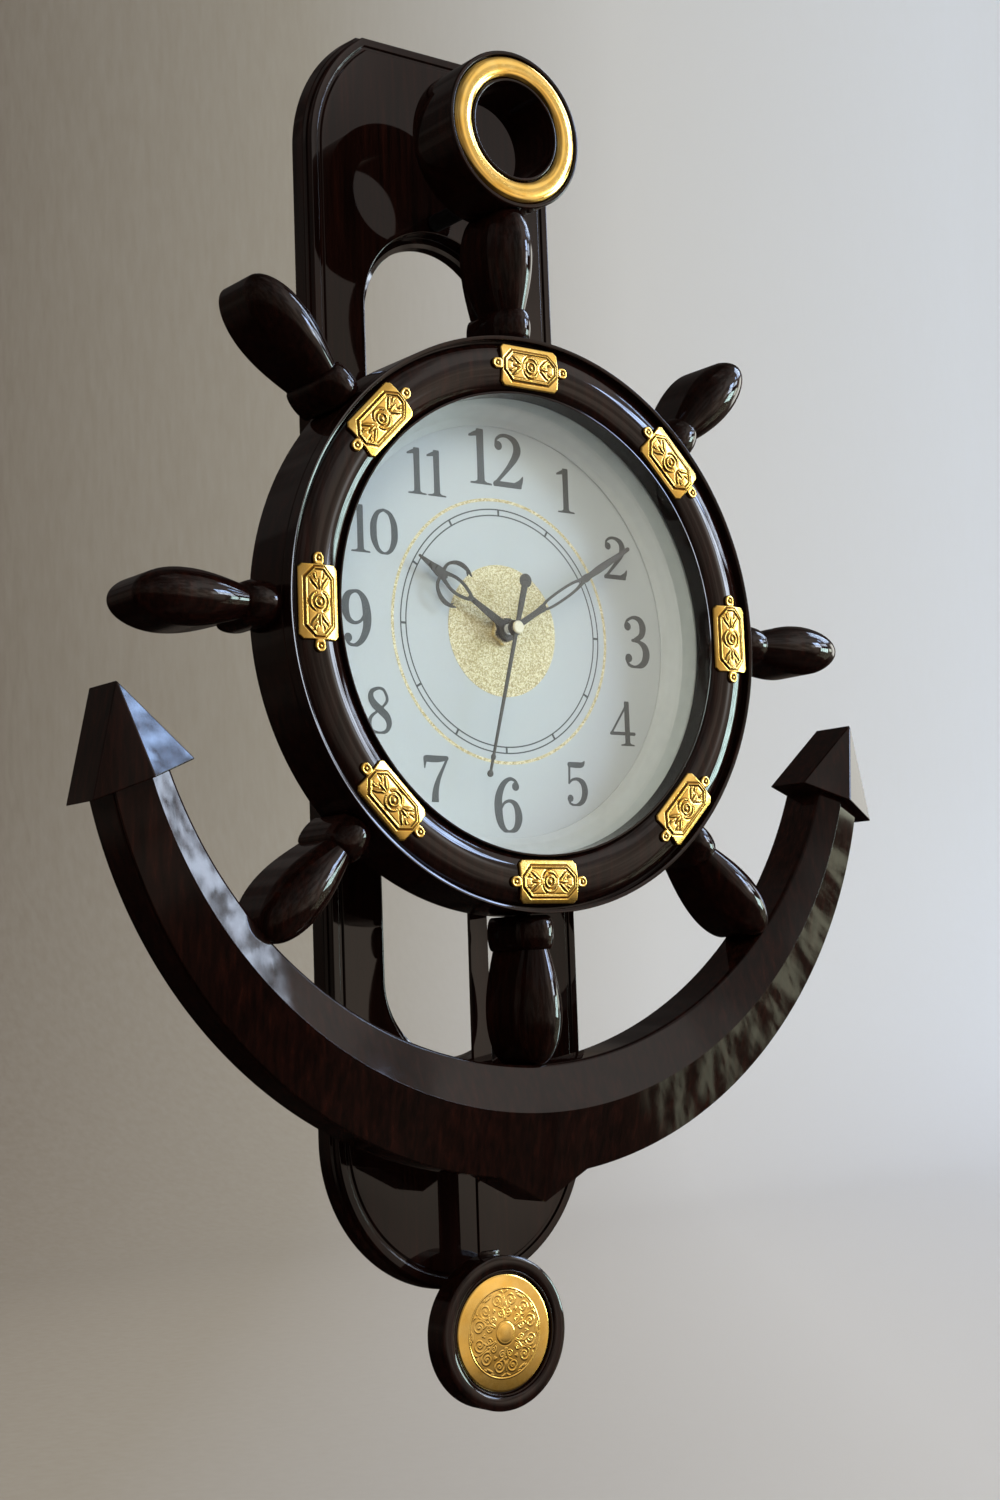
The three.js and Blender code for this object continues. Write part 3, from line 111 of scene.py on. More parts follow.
def mix_colors(tree, kind, factor, first, second):
    made = add_node(tree, "ShaderNodeMix", factor, data_type="RGBA", blend_type=kind)
    for socket, source in zip(made.inputs[6:8], (first, second)):
        feed(tree, socket, source)
    return made.outputs[2]


def color_ramp(tree, source, stops, interpolation="LINEAR"):
    """A colour by share, through (share, colour) stops."""
    made = add_node(tree, "ShaderNodeValToRGB", source)
    made.color_ramp.interpolation = interpolation
    elements = made.color_ramp.elements
    while len(elements) < len(stops):
        elements.new(0.5)
    for element, (share, color) in zip(elements, stops):
        element.position = share
        element.color = (*color, 1)
    return made.outputs["Color"]


# %% Finish
class Finish:
    """A material with one Principled shader and helpers for the nodes before it."""

    def __init__(self, name, **values):
        self.material = bpy.data.materials.new(name)
        self.material.use_nodes = True
        self.tree = self.material.node_tree
        self.tree.nodes.clear()
        self.shader = self.node("ShaderNodeBsdfPrincipled")
        self.output = self.node("ShaderNodeOutputMaterial", self.shader.outputs[0])
        for socket, value in values.items():
            self.shader.inputs[socket.replace("_", " ")].default_value = value
        self.place = self.node("ShaderNodeTexCoord").outputs["Object"]

    def node(self, kind, *sources, **settings):
        return add_node(self.tree, kind, *sources, **settings)

    def noise(self, size_mm, detail=3, stretch=(1, 1, 1), roughness=0.5):
        stretched = self.node("ShaderNodeMapping", self.place, None, None, stretch).outputs[0]
        return self.node("ShaderNodeTexNoise", stretched, None, 1 / (size_mm * MM), detail, roughness).outputs["Fac"]

    def ramp(self, source, *stops):
        return color_ramp(self.tree, source, stops)

    def mix(self, factor, first, second):
        return mix_colors(self.tree, "MIX", factor, first, second)

    def span(self, source, low, high, start=0, end=1):
        """A value between low and high, as the source goes from start to end."""
        return self.node("ShaderNodeMapRange", source, start, end, low, high).outputs[0]

    def into(self, name, source):
        """Joins a source to one of the shader's inputs."""
        self.tree.links.new(source, self.shader.inputs[name])

    def color(self, source):
        self.into("Base Color", source)

    def rough(self, source):
        self.into("Roughness", source)

    def bump(self, source, height_mm):
        """Adds a bump of that height to the bumps before it."""
        earlier = [link.from_socket for link in self.shader.inputs["Normal"].links]
        made = self.node("ShaderNodeBump", None, height_mm * MM, None, source, *earlier)
        self.into("Normal", made.outputs[0])

# %% [markdown]
# The lacquer is a very dark brown plastic with upright rosewood streaks and a high gloss. It is hardly lighter
# than black, and its look comes from reflections, so its surface has the faint ripple of such a moulding, and
# its gloss varies a little from place to place.


# %% Lacquer
LACQUER_DARK, LACQUER_BROWN = (0.0050, 0.0021, 0.0016), (0.0125, 0.0038, 0.0027)
LACQUER_STREAK = (0.030, 0.0074, 0.0046)


def lacquer_finish():
    made = Finish("dark_lacquer", Roughness=0.03, IOR=1.41)
    grain = made.noise(2.2, 6, (1, 1, 0.045), 0.62)
    patch = made.noise(38, 2, (1, 1, 0.4))
    fine = made.ramp(grain, (0.36, LACQUER_DARK), (0.54, LACQUER_BROWN), (0.76, LACQUER_STREAK))
    made.color(made.mix(made.span(patch, 0.0, 0.6, 0.35, 0.75), fine, LACQUER_DARK))
    made.rough(made.span(made.noise(3, 4), 0.02, 0.055, 0.3, 0.75))
    made.bump(made.noise(14, 1), 0.010)
    made.bump(grain, 0.0022)
    return made.material


lacquer = lacquer_finish()

# %% [markdown]
# The gold is bright plating on plastic. The plate reflects almost like a mirror with a warm colour, and its
# recesses are painted a brown tone as shade. Relief meshes carry that painted shade as a value on their
# points, named for the recesses.


# %% Gold
def gold_finish(name, shine, ripple_mm):
    made = Finish(name, Metallic=1.0)
    tone = made.ramp(made.noise(6, 3), (0.3, (0.93, 0.58, 0.12)), (0.7, (0.99, 0.69, 0.21)))
    recess_shade = made.node("ShaderNodeAttribute", attribute_name="recess_shade").outputs["Fac"]
    # Painted shade: the gold turns dark brown in the relief's hollows.
    made.color(made.mix(made.span(recess_shade, 0, 0.95), tone, (0.20, 0.070, 0.010)))
    made.rough(made.span(made.noise(1.5, 3), shine, shine + 0.06, 0.3, 0.75))
    made.bump(made.noise(ripple_mm, 2), 0.02)
    return made.material


plate_gold = gold_finish("embossed_gold", 0.17, 2.2)
mirror_gold = gold_finish("mirror_gold", 0.10, 7)

# %% [markdown]
# The dial is printed paper: a bluish off-white with a faint tooth, grey ink with a little life in it, and gold
# glitter, which is a layer of small flakes turned all ways in a sandy binder.


# %% Dial finishes
FLAKE_MM = 0.42


def paper_finish():
    made = Finish("dial_paper", Roughness=0.5, Specular_IOR_Level=0.3)
    made.color(made.ramp(made.noise(0.4, 4), (0.3, (0.515, 0.54, 0.535)), (0.7, (0.55, 0.575, 0.57))))
    made.bump(made.noise(0.3, 4), 0.004)
    return made.material


def ink_finish():
    made = Finish("grey_ink", Roughness=0.5)
    made.color(made.ramp(made.noise(0.5, 4), (0.3, (0.034, 0.042, 0.040)), (0.7, (0.052, 0.060, 0.057))))
    return made.material


def glitter_finish():
    made = Finish("gold_glitter", Roughness=0.4, Metallic=0.3)
    flakes = made.node("ShaderNodeTexVoronoi", made.place, None, 1 / (FLAKE_MM * MM)).outputs["Color"]
    tone, polish, height = made.node("ShaderNodeSeparateColor", flakes).outputs
    made.color(made.ramp(tone, (0.1, (0.46, 0.35, 0.15)), (0.5, (0.66, 0.55, 0.29)), (0.92, (0.86, 0.78, 0.52))))
    made.rough(made.span(polish, 0.3, 0.65))
    made.bump(height, 0.05)
    return made.material


paper, ink, glitter = paper_finish(), ink_finish(), glitter_finish()

# %% [markdown]
# Glass lets the lamps through to the dial: a shadow ray passes it, and every other ray meets clear glass.


# %% Glass
def glass_finish():
    made = Finish("clear_glass", Roughness=0.0, IOR=1.45, Transmission_Weight=1.0)
    made.color(made.ramp(made.noise(60, 1), (0.2, (0.965, 0.985, 0.985)), (0.8, (0.985, 0.995, 0.995))))
    shadow_ray = made.node("ShaderNodeLightPath").outputs["Is Shadow Ray"]
    clear = made.node("ShaderNodeBsdfTransparent").outputs[0]
    either = made.node("ShaderNodeMixShader", shadow_ray, made.shader.outputs[0], clear)
    feed(made.tree, made.output.inputs[0], either.outputs[0])
    return made.material


glass = glass_finish()

# %% [markdown]
# The works behind the drum are moulded plastic, plated sheet, turned brass, wound copper and a green board.
# They show only from behind and below, and still get the grain, brush marks and windings that they have.


# %% Plastic and metal of the works
def moulded(name, low, high, roughness):
    made = Finish(name, Roughness=roughness)
    made.color(made.ramp(made.noise(4, 4), (0.3, low), (0.7, high)))
    made.rough(made.span(made.noise(0.8, 3), roughness - 0.07, roughness + 0.1))
    made.bump(made.noise(0.5, 3), 0.012)
    return made.material


def metal(name, low, high, roughness, stretch, size_mm=0.6):
    made = Finish(name, Metallic=1.0)
    marks = made.noise(size_mm, 5, stretch, 0.6)
    made.color(made.ramp(marks, (0.25, low), (0.75, high)))
    made.rough(made.span(marks, roughness - 0.08, roughness + 0.12))
    made.bump(marks, 0.006)
    return made.material


black_plastic = moulded("black_moulding", (0.008, 0.008, 0.009), (0.014, 0.014, 0.016), 0.42)
natural_plastic = moulded("natural_moulding", (0.70, 0.68, 0.62), (0.78, 0.76, 0.70), 0.38)
jacket = moulded("battery_jacket", (0.03, 0.034, 0.045), (0.05, 0.055, 0.07), 0.32)
pale_ring_plastic = moulded("pale_ring_moulding", (0.47, 0.49, 0.475), (0.51, 0.53, 0.515), 0.5)
steel = metal("plated_steel", (0.42, 0.43, 0.45), (0.66, 0.67, 0.68), 0.32, (0.15, 1, 1))
brass = metal("turned_brass", (0.66, 0.54, 0.30), (0.88, 0.76, 0.48), 0.24, (1, 0.2, 1))
pale_gold = metal("pale_gold_cap", (0.82, 0.72, 0.50), (0.92, 0.83, 0.60), 0.30, (1, 1, 1), 2.5)


# %% Winding, circuit board and hand sheet
WIRE_MM, TRACK_MM = 0.25, 9


def winding():
    made = Finish("copper_winding", Metallic=1.0, Roughness=0.3)
    turns = made.node("ShaderNodeTexWave", made.place, 0.05 / (WIRE_MM * MM), 0.6, bands_direction="X").outputs["Fac"]
    # Painted shade: the copper turns darker in the troughs between its turns, where the bump dips.
    made.color(made.ramp(turns, (0.1, (0.2, 0.06, 0.02)), (0.7, (0.8, 0.36, 0.16))))
    made.bump(turns, 0.06)
    return made.material


def circuit():
    made = Finish("circuit_board", Roughness=0.4)
    upright = made.node("ShaderNodeMapping", made.place, None, (math.radians(90), 0, 0)).outputs[0]
    tracks = made.node("ShaderNodeTexBrick", upright, (0.012, 0.10, 0.045), (0.016, 0.13, 0.055), (0.05, 0.24, 0.09),
                       1 / (TRACK_MM * MM), 0.05, offset=0.5)
    made.color(tracks.outputs["Color"])
    made.bump(made.noise(0.6, 3), 0.01)
    return made.material


def bronze_sheet():
    made = Finish("bronze_sheet", Metallic=0.75)
    brush = made.noise(0.35, 5, (1, 1, 0.2), 0.6)
    made.color(made.ramp(brush, (0.3, (0.055, 0.052, 0.045)), (0.7, (0.10, 0.094, 0.08))))
    made.rough(made.span(brush, 0.28, 0.45))
    made.bump(brush, 0.004)
    return made.material


copper, green_board, hand_metal = winding(), circuit(), bronze_sheet()
print(len(bpy.data.materials), "materials")

# %% [markdown]
# ## Mesh helpers
#
# Points are given in millimetres as (x, out, z), with `out` counted from the wall. A piece made on the wheel
# counts z from the dial's centre.

# %% Making a piece
WHEEL_Z = -190.0


def shade(piece, sharp):
    """Smooth shading between edges sharper than that many degrees, with flat faces kept flat."""
    piece.data.set_sharp_from_angle(angle=math.radians(sharp))
    weights = piece.modifiers.new("flat faces stay flat", "WEIGHTED_NORMAL")
    weights.keep_sharp = True
    weights.weight = 90


def make(name, points, faces, material, body, slot, stands_for=None, recess_shade=None, sharp=35, bevel=0):
    """A named piece from points in millimetres, with its body and the node that it replaces. Its slot is not used."""
    mesh = bpy.data.meshes.new(name)
    mesh.from_pydata([(x * MM, -out * MM, z * MM) for x, out, z in points], [], faces)
    # A relief's painted shade for its hollows is kept as a value on each point.
    if recess_shade is not None:
        layer = mesh.attributes.new("recess_shade", "FLOAT", "POINT")
        layer.data.foreach_set("value", np.asarray(recess_shade, dtype=np.float32))
    shape = bmesh.new()
    shape.from_mesh(mesh)
    bmesh.ops.recalc_face_normals(shape, faces=shape.faces)
    shape.to_mesh(mesh)
    shape.free()
    mesh.polygons.foreach_set("use_smooth", [True] * len(mesh.polygons))
    mesh.materials.append(material)
    piece = bpy.data.objects.new(name, mesh)
    bpy.context.scene.collection.objects.link(piece)
    if bevel:
        rounding = piece.modifiers.new("rounding", "BEVEL")
        rounding.width = bevel * MM
        rounding.segments = 3
        rounding.limit_method = "ANGLE"
        rounding.angle_limit = math.radians(18)
    shade(piece, 180 if bevel else sharp)
    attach(piece, body)
    if stands_for:
        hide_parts(stands_for)
    return piece


# %% Paths with round corners
def rounded(corners, steps=4):
    """A path through (a, b, radius) corners, with each corner of some radius turned to an arc."""
    path = []
    last = len(corners) - 1
    for place, (a, b, radius) in enumerate(corners):
        if place in (0, last) or radius <= 0:
            path.append((a, b))
            continue
        here = Vector((a, b))
        before = Vector(corners[place - 1][:2]) - here
        after = Vector(corners[place + 1][:2]) - here
        half = before.angle(after) / 2
        if half > math.radians(88):
            path.append((a, b))
            continue
        reach = min(radius / math.tan(half), before.length * 0.49, after.length * 0.49)
        start = here + before.normalized() * reach
        end = here + after.normalized() * reach
        for step in range(steps + 1):
            share = step / steps
            spot = start.lerp(here, share).lerp(here.lerp(end, share), share)
            path.append((spot.x, spot.y))
    return path


def closed_rounded(corners, steps=4):
    """The same for a closed path."""
    return rounded([corners[-1], *corners, corners[0]], steps)[1:-1]


def round_arc(a, b, reach, rise, steps, first=0.0, last=180.0):
    """Points on an arc round (a, b), which runs from +a over +b, or between two angles in degrees."""
    angles = [math.radians(first + (last - first) * step / steps) for step in range(steps + 1)]
    return [(a + reach * math.cos(angle), b + rise * math.sin(angle)) for angle in angles]


def circle(radius, sides, x=0.0, z=0.0):
    angles = [2 * math.pi * side / sides for side in range(sides)]
    return [(x + radius * math.sin(angle), z + radius * math.cos(angle)) for angle in angles]


# %% Solids from rings
def ring_faces(rings, sides, wrap=False):
    """Four-sided faces between rings of points, which are numbered ring by ring."""
    faces = []
    for ring in range(rings if wrap else rings - 1):
        here, there = ring * sides, (ring + 1) % rings * sides
        for side in range(sides):
            beside = (side + 1) % sides
            faces.append((here + side, here + beside, there + beside, there + side))
    return faces


def loft(rings, wrap=False):
    """A solid through rings of equal point counts, capped at both ends unless it wraps round."""
    count, sides = len(rings), len(rings[0])
    faces = ring_faces(count, sides, wrap)
    if not wrap:
        faces += [tuple(range(sides)), tuple(range((count - 1) * sides, count * sides))]
    return [point for ring in rings for point in ring], faces


def turned(profile, x=0.0, z=WHEEL_Z, sides=288):
    """A solid turned about an axis out from the wall, through (radius, out) points."""
    points, rings, faces = [], [], []
    for radius, out in profile:
        if radius < 1e-6:
            rings.append([len(points)])
            points.append((x, out, z))
        else:
            rings.append(range(len(points), len(points) + sides))
            points += [(spot_x, out, spot_z) for spot_x, spot_z in circle(radius, sides, x, z)]
    pairs = list(zip(rings, rings[1:]))
    if len(rings[0]) > 1:
        pairs.append((rings[-1], rings[0]))
    for first, second in pairs:
        for side in range(sides):
            beside = (side + 1) % sides
            if len(first) == 1 and len(second) == 1:
                break
            if len(first) == 1:
                faces.append((first[0], second[side], second[beside]))
            elif len(second) == 1:
                faces.append((first[side], second[0], first[beside]))
            else:
                faces.append((first[side], second[side], second[beside], first[beside]))
    return points, faces


def merged(*parts):
    """The points and faces of several parts as one."""
    points, faces = [], []
    for part_points, part_faces in parts:
        base = len(points)
        points += part_points
        faces += [tuple(corner + base for corner in face) for face in part_faces]
    return points, faces

# %% [markdown]
# Flat ornament, such as numerals and hands, is drawn as a distance field: a union of strokes whose width
# changes along their path. The zero line of the field is traced on a fine grid, so overlapping strokes join
# into one clean outline, and that outline is made solid.


# %% Strokes and their field
def stroke(text, scale=1):
    """Knots (across, up, width) from text, with a comma between knots, all divided by the scale."""
    return [tuple(float(part) / scale for part in knot.split()) for knot in text.split(",")]


def smooth_path(knots, steps=10):
    """More points (and widths) on a smooth curve through the knots."""
    knots = [np.array(knot, dtype=float) for knot in knots]
    if len(knots) == 2:
        return np.array([knots[0] + (knots[1] - knots[0]) * step / steps for step in range(steps + 1)])
    ends = [2 * knots[0] - knots[1], *knots, 2 * knots[-1] - knots[-2]]
    path = []
    for a, b, c, d in zip(ends, ends[1:], ends[2:], ends[3:]):
        for step in range(steps):
            t = step / steps
            path.append(0.5 * (2 * b + (c - a) * t + (2 * a - 5 * b + 4 * c - d) * t**2
                               + (3 * b - a - 3 * c + d) * t**3))
    path.append(knots[-1])
    return np.array(path)


def stroke_field(u, v, path):
    """Distance of each place to a stroke through (u, v, width) points, negative inside."""
    nearest = np.full(u.shape, 1e9)
    for (u0, v0, w0), (u1, v1, w1) in zip(path, path[1:]):
        du, dv = u1 - u0, v1 - v0
        length = max(du * du + dv * dv, 1e-12)
        along = np.clip(((u - u0) * du + (v - v0) * dv) / length, 0, 1)
        gap = np.hypot(u - u0 - along * du, v - v0 - along * dv) - (w0 + (w1 - w0) * along) / 2
        nearest = np.minimum(nearest, gap)
    return nearest


def union_field(u, v, paths):
    return np.minimum.reduce([stroke_field(u, v, path) for path in paths])


# %% Outlines and sheets
def traced(field, low, high, step):
    """Closed loops round the places where a field is negative, on a grid of that step."""
    us = np.arange(low[0], high[0] + step, step)
    vs = np.arange(low[1], high[1] + step, step)
    values = field(*np.meshgrid(us, vs, indexing="ij"))
    values[np.abs(values) < 1e-7] = 1e-7
    inside = values < 0
    cell_sum = inside[:-1, :-1].astype(int) + inside[1:, :-1] + inside[1:, 1:] + inside[:-1, 1:]
    follow, spots = {}, {}

    def spot(a, b):
        """The key of the place where the outline crosses the grid line from a to b."""
        key = (min(a, b), max(a, b))
        share = values[a] / (values[a] - values[b])
        spots[key] = (us[a[0]] + share * (us[b[0]] - us[a[0]]), vs[a[1]] + share * (vs[b[1]] - vs[a[1]]))
        return key

    for i, j in zip(*np.nonzero((cell_sum > 0) & (cell_sum < 4))):
        corners = [(i, j), (i + 1, j), (i + 1, j + 1), (i, j + 1)]
        crossings = [
            (bool(inside[a]), spot(a, b)) for a, b in zip(corners, corners[1:] + corners[:1]) if inside[a] != inside[b]
        ]
        for place, (goes_out, key) in enumerate(crossings):
            if goes_out:
                follow[key] = crossings[(place + 1) % len(crossings)][1]
    loops = []
    while follow:
        start, here = follow.popitem()
        kept = [spots[start]]
        while here != start:
            if math.dist(spots[here], kept[-1]) > step * 0.35:
                kept.append(spots[here])
            here = follow.pop(here)
        if len(kept) > 3:
            loops.append(kept)
    return loops


def cut_sheet(loops, near, far, place=lambda u, v: (u, v)):
    """Points and faces of a flat sheet with those outlines, between two distances out."""
    triangles = tessellate_polygon([[Vector((u, v, 0)) for u, v in loop] for loop in loops])
    spots = [place(u, v) for loop in loops for u, v in loop]
    count = len(spots)
    points = [(x, near, z) for x, z in spots] + [(x, far, z) for x, z in spots]
    faces = [tuple(triangle) for triangle in triangles]
    faces += [tuple(corner + count for corner in reversed(triangle)) for triangle in triangles]
    start = 0
    for loop in loops:
        size = len(loop)
        for step in range(size):
            here, beside = start + step, start + (step + 1) % size
            faces.append((here, beside, beside + count, here + count))
        start += size
    return points, faces

# %% [markdown]
# ## Backboard
#
# A moulded plank of near-black lacquer, with a stepped and grooved border, a round foot, and shoulders that
# rise to a flat top. A long slot with round ends lets the wall show, and a flange runs round it on the wall
# side. One section goes round the whole outline, and another round the slot, with a flat face between.

# %% Backboard
BOARD_HALF, BOARD_TOP, BOARD_FOOT, BOARD_FACE_OFF = 58.7, 49.0, 376.5, 11.0
GROOVE_FLOOR_OFF, FLANGE_OFF, FLANGE_HALF = 10.2, 5.0, 30.1
SLOT_HALF, SLOT_TOP, SLOT_BOTTOM = 34.5, 60.7, 318.4
ARC_STEPS, SIDE_STEPS, SHOULDER_STEPS, CROWN_STEPS = 64, 24, 26, 12


def between(start, end, steps):
    return [
        (start[0] + (end[0] - start[0]) * step / steps, start[1] + (end[1] - start[1]) * step / steps)
        for step in range(1, steps)
    ]


def board_ring(inset, out):
    half = BOARD_HALF - inset
    shoulder = math.degrees(math.asin((BOARD_TOP - inset) / half))
    foot = round_arc(0, -BOARD_FOOT, half, half, ARC_STEPS, 180, 360)
    right_arc = round_arc(0, 0, half, half, SHOULDER_STEPS, 0, shoulder)
    left_arc = round_arc(0, 0, half, half, SHOULDER_STEPS, 180 - shoulder, 180)
    outline = foot + between(foot[-1], right_arc[0], SIDE_STEPS) + right_arc
    outline += between(right_arc[-1], left_arc[0], CROWN_STEPS) + left_arc
    outline += between(left_arc[-1], foot[0], SIDE_STEPS)
    return [(x, out, z) for x, z in outline]


def slot_ring(half, out):
    foot = round_arc(0, -SLOT_BOTTOM, half, half, ARC_STEPS, 180, 360)
    top = round_arc(0, -SLOT_TOP, half, half, 2 * SHOULDER_STEPS + CROWN_STEPS)
    outline = foot + between(foot[-1], top[0], SIDE_STEPS) + top + between(top[-1], foot[0], SIDE_STEPS)
    return [(x, out, z) for x, z in outline]


border = rounded([
    (8, 0, 0), (0, 0, 0.5), (0.4, 7, 0.5), (1.7, 7.4, 0.25), (1.7, BOARD_FACE_OFF, 0.55),
    (4.7, BOARD_FACE_OFF, 0.35), (5.2, GROOVE_FLOOR_OFF, 0.15), (6.2, GROOVE_FLOOR_OFF, 0.15),
    (6.7, BOARD_FACE_OFF, 0.35), (8.5, BOARD_FACE_OFF, 0),
])
slot_edge = rounded([
    (SLOT_HALF + 2, BOARD_FACE_OFF, 0), (SLOT_HALF, BOARD_FACE_OFF, 0.6), (SLOT_HALF, FLANGE_OFF, 0.3),
    (31.9, FLANGE_OFF, 0.3), (30.15, 4.58, 0.2), (FLANGE_HALF, 0, 0.5), (FLANGE_HALF + 2.4, 0, 0),
])
board_rings = [board_ring(inset, out) for inset, out in border] + [slot_ring(half, out) for half, out in slot_edge]
board = make("backboard_shell", *loft(board_rings, wrap=True), lacquer, "frame", "lacquer", "backboard")


# %% Pockets in the board's back
def pocket(half_x, half_z, depth):
    mesh = bpy.data.meshes.new("pocket")
    shape = bmesh.new()
    bmesh.ops.create_cube(shape, size=1)
    bmesh.ops.scale(shape, verts=shape.verts, vec=(2 * half_x * MM, 2 * depth * MM, 2 * half_z * MM))
    shape.to_mesh(mesh)
    shape.free()
    return bpy.data.objects.new("pocket", mesh)


def carve(piece, tools):
    """Cuts tools out of a piece for good."""
    piece.modifiers.clear()
    for tool in reversed(tools):
        bpy.context.scene.collection.objects.link(tool)
        cutter = piece.modifiers.new("cut", "BOOLEAN")
        cutter.object = tool
        cutter.operation = "DIFFERENCE"
        cutter.solver = "EXACT"
    seen = piece.evaluated_get(bpy.context.evaluated_depsgraph_get())
    piece.data = bpy.data.meshes.new_from_object(seen)
    piece.modifiers.clear()
    shade(piece, 35)
    for tool in tools:
        bpy.data.objects.remove(tool)


carve(board, [pocket(13.3, 17.3, 1.3), pocket(9, 13, 6.5)])
print("backboard:", len(board.data.vertices), "points")

# %% [markdown]
# ## Wheel: drum, bezel, glass
#
# The drum is a turned cup whose wall is the wheel's rim. The bezel closes it in front with one wide bead
# between two lips. Every edge is rounded a little, because the thin white lines of the photograph are lamps
# caught on those edges.

# %% Drum, bezel and glass
WHEEL_RADIUS, BEZEL_INNER, BUSH_HOLE = 106.7, 85.3, 4.3
FRAME_BACK_OFF, DRUM_FLOOR_OFF, DRUM_RIM_OFF = 40.0, 43.3, 62.0
BEAD_INNER, BEAD_OUTER, BEAD_BASE_OFF, BEAD_RISE = 86.1, 104.5, 63.8, 3.6
BEAD_MIDDLE, BEAD_HALF = (BEAD_INNER + BEAD_OUTER) / 2, (BEAD_OUTER - BEAD_INNER) / 2
BEAD_CREST_OFF = BEAD_BASE_OFF + BEAD_RISE
GLASS_RADIUS, GLASS_BACK_OFF, GLASS_OFF, GLASS_SEAT_OFF = 90.0, 56.6, 58.6, 58.9
DIAL_RADIUS, DIAL_BACK_OFF, DIAL_OFF = 103.0, 43.6, 44.6

drum_profile = closed_rounded([
    (BUSH_HOLE, FRAME_BACK_OFF, 0), (WHEEL_RADIUS, FRAME_BACK_OFF, 1.0), (WHEEL_RADIUS, DRUM_RIM_OFF, 0.3),
    (103.9, DRUM_RIM_OFF, 0.3), (103.9, DRUM_FLOOR_OFF, 0.5), (BUSH_HOLE, DRUM_FLOOR_OFF, 0),
])
make("drum_shell", *turned(drum_profile), lacquer, "frame", "lacquer", "wheel_drum")

bead = [(radius, out, 0) for radius, out in round_arc(BEAD_MIDDLE, BEAD_BASE_OFF, BEAD_HALF, BEAD_RISE, 24, 176, 4)]
bezel_profile = closed_rounded([
    (BEZEL_INNER, GLASS_SEAT_OFF, 0.1), (BEZEL_INNER, 66.8, 0.25), (BEAD_INNER, 66.71, 0.2), (BEAD_INNER, 64.4, 0.1),
    *bead,
    (BEAD_OUTER, 63.9, 0.25), (105.2, 63.9, 0.15), (105.3, 67.6, 0.2), (106.0, 67.78, 0.6),
    (WHEEL_RADIUS, 67.9, 0.25), (WHEEL_RADIUS, DRUM_RIM_OFF + 0.3, 0.25), (92.6, DRUM_RIM_OFF + 0.3, 0),
    (92.6, GLASS_BACK_OFF, 0.2), (90.3, GLASS_BACK_OFF, 0.1), (90.3, GLASS_SEAT_OFF, 0),
])
make("bezel_ring", *turned(bezel_profile), lacquer, "frame", "lacquer", "bezel")

lens_profile = rounded([
    (0, GLASS_BACK_OFF, 0), (GLASS_RADIUS, GLASS_BACK_OFF, 0.15), (GLASS_RADIUS, GLASS_OFF, 0.15), (0, GLASS_OFF, 0),
])
make("flat_glass", *turned(lens_profile), glass, "frame", "glass", "glass")

ring_profile = closed_rounded([
    (78.0, 44.9, 0), (90, 44.9, 0.2), (90, 56.3, 0.2), (86.3, 56.3, 0.6), (80.6, 46.8, 3.0), (78.0, 45.4, 0.5),
])
make("pale_ring", *turned(ring_profile), pale_ring_plastic, "frame", "white_plastic", "dial_ring")
print("bezel:", len(bezel_profile), "points round its section")

# %% [markdown]
# ## Dial
#
# The paper is one disc. The chapter ring, its ticks, the glitter ring and disc and each number lie on it as
# thin prints.

# %% Dial and its rings
PRINT_BACK_OFF, PRINT_OFF, GLITTER_OFF = DIAL_OFF + 0.002, DIAL_OFF + 0.05, DIAL_OFF + 0.09
dial_profile = rounded([
    (BUSH_HOLE, DIAL_BACK_OFF, 0), (DIAL_RADIUS, DIAL_BACK_OFF, 0.1), (DIAL_RADIUS, DIAL_OFF, 0.1),
    (BUSH_HOLE, DIAL_OFF, 0),
])
make("dial_sheet", *turned(dial_profile), paper, "frame", "dial", "dial")
for name, inner, outer, material, out in (
    ("glitter_disc", 4.4, 25, glitter, GLITTER_OFF),
    ("glitter_circle", 49.2, 50.4, glitter, PRINT_OFF),
    ("chapter_line_inner", 43.6, 44.1, ink, PRINT_OFF),
    ("chapter_line_outer", 45.9, 46.4, ink, PRINT_OFF),
):
    profile = [(inner, PRINT_BACK_OFF), (outer, PRINT_BACK_OFF), (outer, out), (inner, out)]
    make(name, *turned(profile), material, "frame", "dial")


def spun(points, degrees, z=WHEEL_Z):
    """Points drawn at the top of the wheel, taken round it clockwise and down to it."""
    sine, cosine = math.sin(math.radians(degrees)), math.cos(math.radians(degrees))
    return [(x * cosine + up_z * sine, out, -x * sine + up_z * cosine + z) for x, out, up_z in points]


tick_points, tick_faces = cut_sheet([[(-0.42, 44), (-0.42, 46), (0.42, 46), (0.42, 44)]], PRINT_BACK_OFF, PRINT_OFF)
ticks = merged(*((spun(tick_points, 30 * hour), tick_faces) for hour in range(12)))
make("chapter_ticks", *ticks, ink, "frame", "dial")
print("dial printed but for its numbers")

# %% [markdown]
# ## Numbers
#
# The numbers are a condensed book face with strong stems, hairline returns and ball ends. Each figure is a width
# and its strokes, as knots across, up and wide in hundredths of its height. It is clipped to its foot and cap
# lines where it has flat ends, and the nine is the six turned round.

